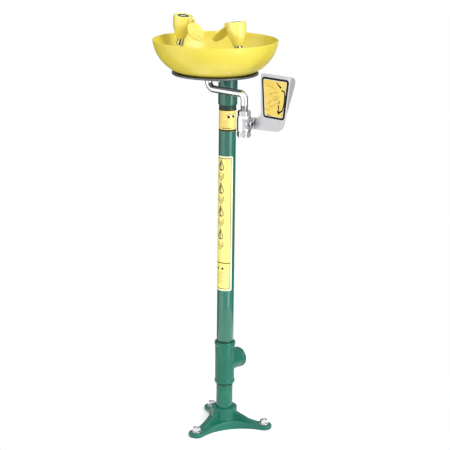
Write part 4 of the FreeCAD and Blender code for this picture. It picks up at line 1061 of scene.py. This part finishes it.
def yoke():
    arm_level, block_top = 951, 962
    place = upright(0, middle("spray_yoke").y)
    ends = []
    for side, sign in SIDES:
        axis = HEAD_AXES[sign]
        foot = middle(side + "_head_collar") / MM + axis * 8
        ends.append((foot + axis * 10, foot - axis * ((foot.z - arm_level) / axis.z)))
    (left_top, left_corner), (right_top, right_corner) = ends
    path = rounded([(*left_top, 0), (*left_corner, 22), (*right_corner, 22), (*right_top, 0)],
                   closed=False, step=5)
    show("yoke_arms", swept(path, ARM_R, ARM_BORE_R, 56), TUBE_CHROME, ("spray_yoke",))
    nut_low, nut_high = levels("supply_locknut")
    block = lathe([(5.2, nut_high, 0.4), (15, nut_high, 0.8), (15, block_top - 4, 2),
                   (11, block_top, 2.5), (0, block_top, 0)])
    show("yoke_block", block, CAST_CHROME, place=place)
    show("supply_locknut_bevelled", hexagonal(30, nut_low, nut_high, 8.85), CHROME,
         ("supply_locknut",), place)


def tulip(side, sign):
    """Spray head: round flared shell and the lug of its cover's hinge."""
    shell_profile = [(8.2, 0, 0.4), (11.8, 0, 0.8), (13.0, 4, 4)]
    # The curved side swells from the neck to the shoulder.
    for up, radius in ((12, 16.2), (20, 19.2), (28, 21.6), (36, 23.1), (45, 23.5)):
        shell_profile.append((radius, up, 30))
    shell_profile += [(23.45, 56, 1.4), (20.4, 56, 1.2), (18.9, 54.6, 1.0), (12.9, 54.6, 0.5),
                      (12.9, 38, 0.3), (8.2, 32, 0.3)]
    shell = lathe(shell_profile, 128, step=8)
    inward = -sign
    reach, up, root, knuckle = HINGE_REACH, HINGE_UP, 20, 3
    lug = rounded([(inward * root, up - 9, 1), (inward * (reach + 1), up - knuckle - 0.4, 2.4),
                   (inward * (reach + knuckle), up - 1, 2),
                   (inward * (reach + knuckle), up + knuckle, 2.9),
                   (inward * (reach - 3), up + knuckle, 2), (inward * root, up + 2.3, 1)])
    show(side + "_spray_head_shell", joined(shell, standing(lug, -3, 3, 0.5)), HEAD_YELLOW,
         (side + "_spray_head",), head_place(side, sign))


def head_trim(side, sign):
    """Collar under a head, its black core a painted dark reflection between bright ribs, and the
    ringed outlet plate inside its mouth.
    """
    place = head_place(side, sign)
    # Painted reflection: the black core stands for the dark reflections seen between the collar's
    # bright ribs.
    core = lathe([(8, -16, 0), (9.9, -16, 0.5), (9.9, -15.0, 0.5), (8.7, -14.6, 0.3),
                  (8.7, -1.2, 0.3), (9.9, -0.8, 0.4), (9.9, -0.1, 0.2), (8, 0, 0)])
    show(side + "_head_collar_core", core, RUBBER, (side + "_head_collar",), place)
    ribs = []
    rib_count = 8
    for i in range(rib_count):
        rib = standing([(-3.4, -14.9), (0.6, -14.9), (3.4, -0.5), (-0.6, -0.5)], 8.1, 9.9, 0.5)
        rib.transform(Matrix.Rotation(2 * math.pi * (i + 0.3) / rib_count, 4, "Z"))
        ribs.append(rib)
    show(side + "_head_collar_ribs", joined(*ribs), SATIN_CHROME, place=place)
    ring = lathe([(9.2, 38.5, 0.2), (12.8, 38.5, 0.2), (12.8, 55.4, 0.5), (12.0, 56.1, 0.5),
                  (10.0, 56.1, 0.6), (9.2, 54.6, 0.3)])
    show(side + "_insert_ring", ring, RUBBER, place=place)
    cup = lathe([(0, 54.9, 0), (5.6, 54.9, 1.2), (7.6, 54.1, 0.6), (9.3, 54.1, 0.2),
                 (9.3, 40, 0.3), (6.5, 40, 0.3), (6.5, 51, 0.5), (0, 51, 0)])
    show(side + "_insert_plate", cup, WHITE, (side + "_outlet_insert",), place)
    jets = []
    for count, circle in ((1, 0), (6, 2.6), (10, 4.9)):
        for i in range(count):
            angle = 2 * math.pi * i / count
            jet = lathe([(0, 55.02, 0), (0.55, 55.02, 0.15), (0.55, 54.2, 0), (0, 54.2, 0)], 16)
            place_on_plate = (circle * math.cos(angle), circle * math.sin(angle), 0)
            jet.transform(Matrix.Translation(place_on_plate))
            jets.append(jet)
    show(side + "_insert_jets", joined(*jets), RUBBER, place=place)


def cover(side, sign, opened):
    """Dust cover drawn closed about its hinge, then swung open."""
    shell = lathe([
        (0, 6.6, 0), (19.0, 6.6, 1.5), (20.5, 7.2, 1.5), (24.6, 7.2, 1.6), (24.6, 3.9, 0.6),
        (23.1, 3.9, 0.6), (23.1, 5.2, 0.6), (15.6, 5.2, 0.3), (15.6, 4.5, 0.3),
        (14.2, 4.5, 0.3), (14.2, 5.2, 0.3), (0, 5.2, 0),
    ], 128)
    shell.transform(Matrix.Translation((sign * HINGE_REACH, 0, 0)))
    ear = rounded([(-sign * 2.6, -2.4, 2.4), (sign * 3.6, -2.2, 2), (sign * 6.0, 3.4, 1),
                   (sign * 8.6, 5.0, 0.4), (sign * 8.6, 6.2, 0.4), (sign * 2.4, 6.2, 2),
                   (-sign * 2.6, 2.2, 2.2)])
    ears = [standing(ear, y, y + 3, 0.4) for y in (-6.4, 3.4)]
    hinge = joint_places[side + "_cover_hinge"]
    swing = Matrix.Rotation(math.radians(-sign * (TILT + opened)), 4, "Y")
    show(side + "_dust_cover_shell", joined(shell, *ears), HEAD_YELLOW, (side + "_dust_cover",),
         Matrix.Translation(hinge) @ swing, side + "_cover")


def pin(side):
    node = side + "_hinge_pin"
    half = (high(node).y - low(node).y) / 2 / MM
    rod = lathe([(0, -half, 0), (1.15, -half, 0.6), (1.15, half, 0.6), (0, half, 0)], 32)
    place = aimed(joint_places[side + "_cover_hinge"], Y_AXIS)
    show(node + "_turned", rod, TURNED_STEEL, (node,), place)


def water_group():
    supply_line()
    yoke()
    for side, sign in SIDES:
        tulip(side, sign)
        head_trim(side, sign)
        cover(side, sign, joint_ranges[side + "_cover_hinge"][1])
        pin(side)


# Ball valve and handle

def valve():
    stem_level = joint_places["handle_turn"].z / MM
    axis = middle("valve_end_piece")
    centre = upright(axis.x, axis.y)
    end_low = levels("valve_end_piece")[0]
    body_low, body_high = levels("valve_body")
    collar_low = body_high - 11.5
    barrel = lathe([(0, body_low, 0), (15.2, body_low, 0.8), (16.9, body_low + 4, 5),
                    (16.9, collar_low - 6, 6), (14.4, collar_low, 3), (0, collar_low + 2, 0)], 128)
    boss = lathe([(0, 0, 0), (9.4, 0, 0), (9.4, 17.4, 1.0), (0, 17.4, 0)], 72)
    boss.transform(Matrix.Translation((0, 0, stem_level)) @ Matrix.Rotation(math.pi / 2, 4, "Y"))
    rib = lathe([(0, stem_level - 1.6, 0), (17.0, stem_level - 1.6, 1.2),
                 (17.0, stem_level + 1.6, 1.2), (0, stem_level + 1.6, 0)], 128)
    cast_solid = joined(barrel, boss, rib)
    melted("valve_barrel_cast", cast_solid, CAST_CHROME, ("valve_body",), centre,
           voxel=0.4, softness=5)
    collar = hexagonal(28, collar_low - 2, body_high, 8.9)
    show("valve_collar_hexagon", collar, CAST_CHROME, place=centre)
    inlet = lathe([(10.7, end_low, 0.4), (14.6, end_low, 0.8), (14.6, end_low + 2, 0.3),
                   (10.7, end_low + 2, 0.2)])
    end = joined(hexagonal(29.6, end_low + 1.6, body_low + 0.3, 10.7), inlet)
    show("valve_end_piece_hexagon", end, CAST_CHROME, ("valve_end_piece",), centre)


def stem_and_nut():
    """Stem, lock washer and nut, which turn with the handle; they are drawn along the x axis."""
    stem = joint_places["handle_turn"]
    along = aimed(Vector((0, stem.y, stem.z)), X_AXIS)
    nut_low, nut_high = low("handle_nut").x / MM, high("handle_nut").x / MM
    washer_low = low("lock_washer").x / MM
    washer = lathe([(4.1, washer_low, 0.2), (7.5, washer_low, 0.2), (7.5, nut_low, 0.4),
                    (4.1, nut_low, 0.2)], 64)
    show("lock_washer_turned", washer, DARK_STEEL, ("lock_washer",), along, "handle")
    nut = hexagonal(13, nut_low, nut_high, 3.9)
    show("handle_nut_bevelled", nut, TURNED_STEEL, ("handle_nut",), along, "handle")
    stem_low, stem_high = low("valve_stem").x / MM, high("valve_stem").x / MM
    radius, pitch, flats_end, thread_start = 3.95, 1.25, 132, 135.6
    wall = threaded_wall(radius, flats_end, stem_high - 0.6, pitch)
    head = stem_low + 2.6
    outline = [(0, head), (radius, head)] + wall + [(3.4, stem_high), (0, stem_high)]
    ripple = thread(radius, 0.5, pitch, thread_start, stem_high)
    rod = turned(outline, 64, closed=False, ripple=ripple)
    show("valve_stem_turned", rod, DARK_STEEL, ("valve_stem",), along, "handle")


def handle():
    """Sheet handle: a tab flat against the stem, bent square into a flag with a slanting lip.

    The sheet is cut flat, with s running from the tab's edge, and then bent."""
    tab_x, flag_y = 133.3, -58.0
    tab_edge, bend_r = -82.0, 3.0
    bottom, top = 803, 939.5
    lip_bottom, lip_top = 225.5, 243
    half = 1.0
    bend_start = flag_y - bend_r - tab_edge
    bend_end = bend_start + bend_r * math.pi / 2
    zero = tab_x + bend_r - bend_end

    def lip(u, v):
        """Distance of a front-view point beyond the slanting bend line."""
        return u - (lip_bottom + (v - bottom) * (lip_top - lip_bottom) / (top - bottom))

    def bend(s, v):
        if s < bend_start:
            return Vector((tab_x, tab_edge + s, v)), Vector((1, 0, 0))
        if s < bend_end:
            angle = (s - bend_start) / bend_r
            spoke = Vector((-math.cos(angle), math.sin(angle), 0))
            return Vector((tab_x + bend_r, flag_y - bend_r, v)) + spoke * bend_r, -spoke
        beyond = lip(s + zero, v)
        soft = 2.2
        root = math.sqrt(beyond ** 2 + soft ** 2)
        normal = Vector(((1 + beyond / root) / 2, -1, 0)).normalized()
        return Vector((s + zero, flag_y + (beyond + root) / 2, v)), normal

    def front(s, v):
        point, normal = bend(s, v)
        return point + normal * half, normal
    edge = 250 - zero
    outline = rounded([(0, bottom, 9), (184 - zero, 806, 60), (221 - zero, 809, 36),
                       (235.8 - zero, 864, 80), (edge, 925, 40), (edge, top, 8),
                       (153.5 - zero, top, 8), (157 - zero, 832, 17), (0, 832, 9)], step=6)
    columns = steps_between(3, bend_start, 3) + steps_between(bend_start, bend_end, 0.5)
    columns += steps_between(bend_end + 2, 212 - zero, 5) + steps_between(213 - zero, edge, SHEET_STEP)
    sheet = skin(outline, 2 * half, front, columns, steps_between(805, 938, 4))
    rims = [rim for rim in sheet.edges if rim.calc_face_angle(0) > math.radians(60)]
    bmesh.ops.bevel(sheet, geom=rims, offset=0.35, segments=2, affect="EDGES", clamp_overlap=True)
    show("push_handle_sheet", sheet, STEEL, ("push_handle",), body="handle")


def sign_point(across, down):
    """Point on the sign: share of its width from the left and of its height from the top."""
    bottom, top = levels("handle_sign")
    top_left, top_right, bottom_left, bottom_right = 157.6, 239.8, 164.6, 227.0
    left = top_left + (bottom_left - top_left) * down
    right = top_right + (bottom_right - top_right) * down
    return (left + (right - left) * across, top + (bottom - top) * down)


def sign_stroke(shares, width, end_width=None, curved=True):
    """Line on the sign through points given as shares of its width and height."""
    points = [sign_point(*share) for share in shares]
    return stroke(curve_through(points) if curved else points, width, end_width)


def curve_through(points, count=6):
    """Smooth line through points (Catmull-Rom)."""
    vectors = [Vector(point) for point in points]
    vectors = [vectors[0] * 2 - vectors[1]] + vectors + [vectors[-1] * 2 - vectors[-2]]
    line = []
    for i in range(1, len(vectors) - 2):
        a, b, c, d = vectors[i - 1:i + 3]
        for k in range(count):
            t = k / count
            line.append(0.5 * (2 * b + (c - a) * t + (2 * a - 5 * b + 4 * c - d) * t ** 2
                               + (3 * b - a - 3 * c + d) * t ** 3))
    line.append(vectors[-2])
    return line


def shrunk(corners, distance):
    """Corners of an anticlockwise outline after every side has moved inwards by a distance."""
    moved = []
    for i, corner in enumerate(corners):
        here = Vector(corner)
        along = (here - Vector(corners[i - 1])).normalized()
        onward = (Vector(corners[(i + 1) % len(corners)]) - here).normalized()
        moved.append(here + (onward - along) * (distance / along.cross(onward)))
    return moved


def sign():
    """Sign on the flag: black border, pale line, gold field and a plain hand pressing a plate."""
    front = low("handle_sign").y / MM
    normal = Vector((0, -1, 0))
    corners = [sign_point(*share) for share in ((0, 1), (1, 1), (1, 0), (0, 0))]
    gold = matte("sign_yellow", "look_sign_gold", rgb(224, 190, 66), rgb(238, 212, 98), (0.3, 0.42),
                 300, 0.00004, Coat_Weight=0.2, Coat_Roughness=0.2)

    def bend(u, v):
        return Vector((u, front, v)), normal
    border = rounded([(*corner, 7.5) for corner in corners])
    sheet = skin(border, 0.6, bend, steps_between(158, 239, 8), steps_between(838, 931, 8))
    show("handle_sign_border", sheet, INK, ("handle_sign",), body="handle")
    for name, distance, corner_r, lift, colour in (("line", 5.0, 3.6, 0.05, WHITE_INK),
                                                   ("field", 5.9, 3.0, 0.1, gold)):
        outline = rounded([(*corner, corner_r) for corner in shrunk(corners, distance)])
        print_on("handle_sign_" + name, [outline], bend, colour, "handle", 8, lift)
    panel = [
        sign_stroke(((0.56, 0.09), (0.65, 0.165), (0.74, 0.215)), 1.6, 5.2),
        sign_stroke(((0.76, 0.27), (0.83, 0.285), (0.89, 0.30)), 3.2, 3.4),
        sign_stroke(((0.89, 0.30), (0.915, 0.44), (0.92, 0.56), (0.90, 0.68), (0.885, 0.765)),
                    3.2, 2.8),
        sign_stroke(((0.885, 0.765), (0.80, 0.80), (0.725, 0.835)), 3.6, 4.2),
        sign_stroke(((0.725, 0.835), (0.70, 0.74), (0.69, 0.65)), 1.8, 4.0),
        sign_stroke(((0.69, 0.62), (0.705, 0.58), (0.72, 0.54)), 2.6, 1.8),
        sign_stroke(((0.655, 0.78), (0.73, 0.865)), 2.6, 4.2, curved=False),
    ]
    hand = [sign_stroke(shares, 1.7, 1.1) for shares in (
        ((0.20, 0.20), (0.38, 0.225), (0.57, 0.29)),
        ((0.30, 0.43), (0.45, 0.355), (0.67, 0.345)),
        ((0.48, 0.455), (0.58, 0.445), (0.69, 0.46)),
        ((0.24, 0.64), (0.42, 0.545), (0.66, 0.50)),
        ((0.30, 0.73), (0.48, 0.665), (0.60, 0.60)),
        ((0.08, 0.78), (0.20, 0.80), (0.34, 0.76)),
    )]
    bar = [sign_stroke(((0.17, 0.925), (0.36, 0.93)), 2.0, curved=False)]
    for name, strokes, colour in (("panel", panel, INK), ("hand", hand, TAN_INK),
                                  ("bar", bar, BROWN_INK)):
        print_on("handle_sign_" + name, strokes, bend, colour, "handle", 8, 0.15)


def valve_group():
    valve()
    stem_and_nut()
    handle()
    sign()


# Stage, light and camera

FLOOR_R = 560


def stage():
    floor = turned([(0, -1.0), (FLOOR_R, -1.0), (FLOOR_R, 0), (0, 0)], 128, closed=False)
    mesh = placed("floor", floor, Matrix.Translation((0, 0, -0.0002)))
    paper = Surface("green_coat", "look_floor")
    tone = paper.blend(paper.span(paper.noise(3), 0.3, 0.7), rgb(250, 250, 250), rgb(254, 254, 254))
    mesh.materials.append(paper.finish(tone, 0.9, Specular_IOR_Level=0.1, Emission_Strength=0.22,
                                       Emission_Color=rgb(255, 255, 255)))
    thing = linked("floor", mesh)


CAMERA_SIDE = -48.3
# Angle from the camera's side, half width and soft edge in degrees, then lowest and highest
# direction and strength.
SOFTBOXES = (
    (46, 9, 5, -0.5, 0.75, 4.0),
    (-80, 18, 10, -0.95, 0.6, 0.85),
    (-48, 10, 10, -0.45, 0.05, 1.5),
    (0, 40, 30, 0.35, 0.8, 0.6),
    (4, 34, 16, -0.6, 0.2, 0.33),
)
DARK_GAPS = ((-142, 34), (126, 16))


def studio():
    """Pale room with softboxes and darker gaps, so that bright metal has something to show."""
    world = bpy.data.worlds.new("studio")
    bpy.context.scene.world = world
    room = Graph(world)
    room.tree.nodes.clear()
    place = room.add("ShaderNodeTexCoord")
    axes = room.add("ShaderNodeSeparateXYZ", {"Vector": place.outputs["Generated"]})
    azimuth = room.math("ARCTAN2", axes.outputs["Y"], axes.outputs["X"])
    height = axes.outputs["Z"]

    def ramp(value, start, end, to_start, to_end):
        return room.span(value, start, end, to_start, to_end, interpolation_type="SMOOTHSTEP")

    def panel(offset, half_width, soft, bottom, top):
        """Share of a soft-edged panel at an angle from the camera's side, in degrees."""
        away = room.math("SUBTRACT", azimuth, math.radians(CAMERA_SIDE + offset))
        away = room.math("ABSOLUTE", room.math("WRAP", away, math.pi, -math.pi))
        across = ramp(away, math.radians(half_width), math.radians(half_width + soft), 1.0, 0.0)
        lower = ramp(height, bottom - 0.1, bottom, 0.0, 1.0)
        upper = ramp(height, top, top + 0.1, 1.0, 0.0)
        return room.math("MULTIPLY", across, room.math("MULTIPLY", lower, upper))
    light = ramp(height, -0.2, 0.9, 0.44, 0.78)
    for *extent, strength in SOFTBOXES:
        light = room.math("ADD", light, room.math("MULTIPLY", panel(*extent), strength))
    for offset, half_width in DARK_GAPS:
        dark = room.math("MULTIPLY", panel(offset, half_width, 8, -1.2, 0.2), 0.9)
        light = room.math("MULTIPLY", light, room.math("SUBTRACT", 1.0, dark))
    seen = room.add("ShaderNodeLightPath").outputs["Is Camera Ray"]
    glow = room.add("ShaderNodeMix", {0: seen, 2: light, 3: 1.0}, data_type="FLOAT").outputs[0]
    back = room.add("ShaderNodeBackground", {"Color": (1, 1, 1, 1), "Strength": glow})
    room.add("ShaderNodeOutputWorld", {"Surface": back.outputs["Background"]})


def sun():
    """Soft frontal light from above the camera's right."""
    data = bpy.data.lights.new("key", "SUN")
    data.energy = 0.84
    data.angle = math.radians(28)
    lamp = linked("key", data)
    azimuth, up = math.radians(CAMERA_SIDE + 48), math.radians(42)
    level = math.cos(up)
    towards = Vector((math.cos(azimuth) * level, math.sin(azimuth) * level, math.sin(up)))
    lamp.rotation_mode = "QUATERNION"
    lamp.rotation_quaternion = towards.to_track_quat("Z", "Y")


CAMERA_PLACE = (2.3693, -2.6604, 1.5050)
CAMERA_ANGLES = (41.741, 15.265, 0.651)


def camera():
    """Camera aimed by its azimuth, its dip below the horizon and its roll, in degrees."""
    data = bpy.data.cameras.new("camera")
    data.sensor_width = 36
    data.lens = 118.7
    data.clip_start = 0.1
    data.clip_end = 60
    thing = linked("camera", data)
    bpy.context.scene.camera = thing
    azimuth, pitch, roll = (math.radians(angle) for angle in CAMERA_ANGLES)
    level_forward = Vector((-math.sin(azimuth), math.cos(azimuth), 0))
    level_right = Vector((math.cos(azimuth), math.sin(azimuth), 0))
    forward = level_forward * math.cos(pitch) - Z_AXIS * math.sin(pitch)
    level_up = level_forward * math.sin(pitch) + Z_AXIS * math.cos(pitch)
    right = level_right * math.cos(roll) + level_up * math.sin(roll)
    up = level_up * math.cos(roll) - level_right * math.sin(roll)
    turn = Matrix((right, up, -forward)).transposed().to_4x4()
    thing.matrix_world = Matrix.Translation(CAMERA_PLACE) @ turn


def dress_remaining():
    """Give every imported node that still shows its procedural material."""
    for node in nodes.values():
        slot = node.data.materials[0].name
        if slot in SLOT_LOOKS:
            node.data.materials[0] = SLOT_LOOKS[slot]


pedestal()
bowl_group()
water_group()
valve_group()
dress_remaining()
stage()
studio()
sun()
camera()
bpy.context.scene.view_settings.view_transform = "Standard"
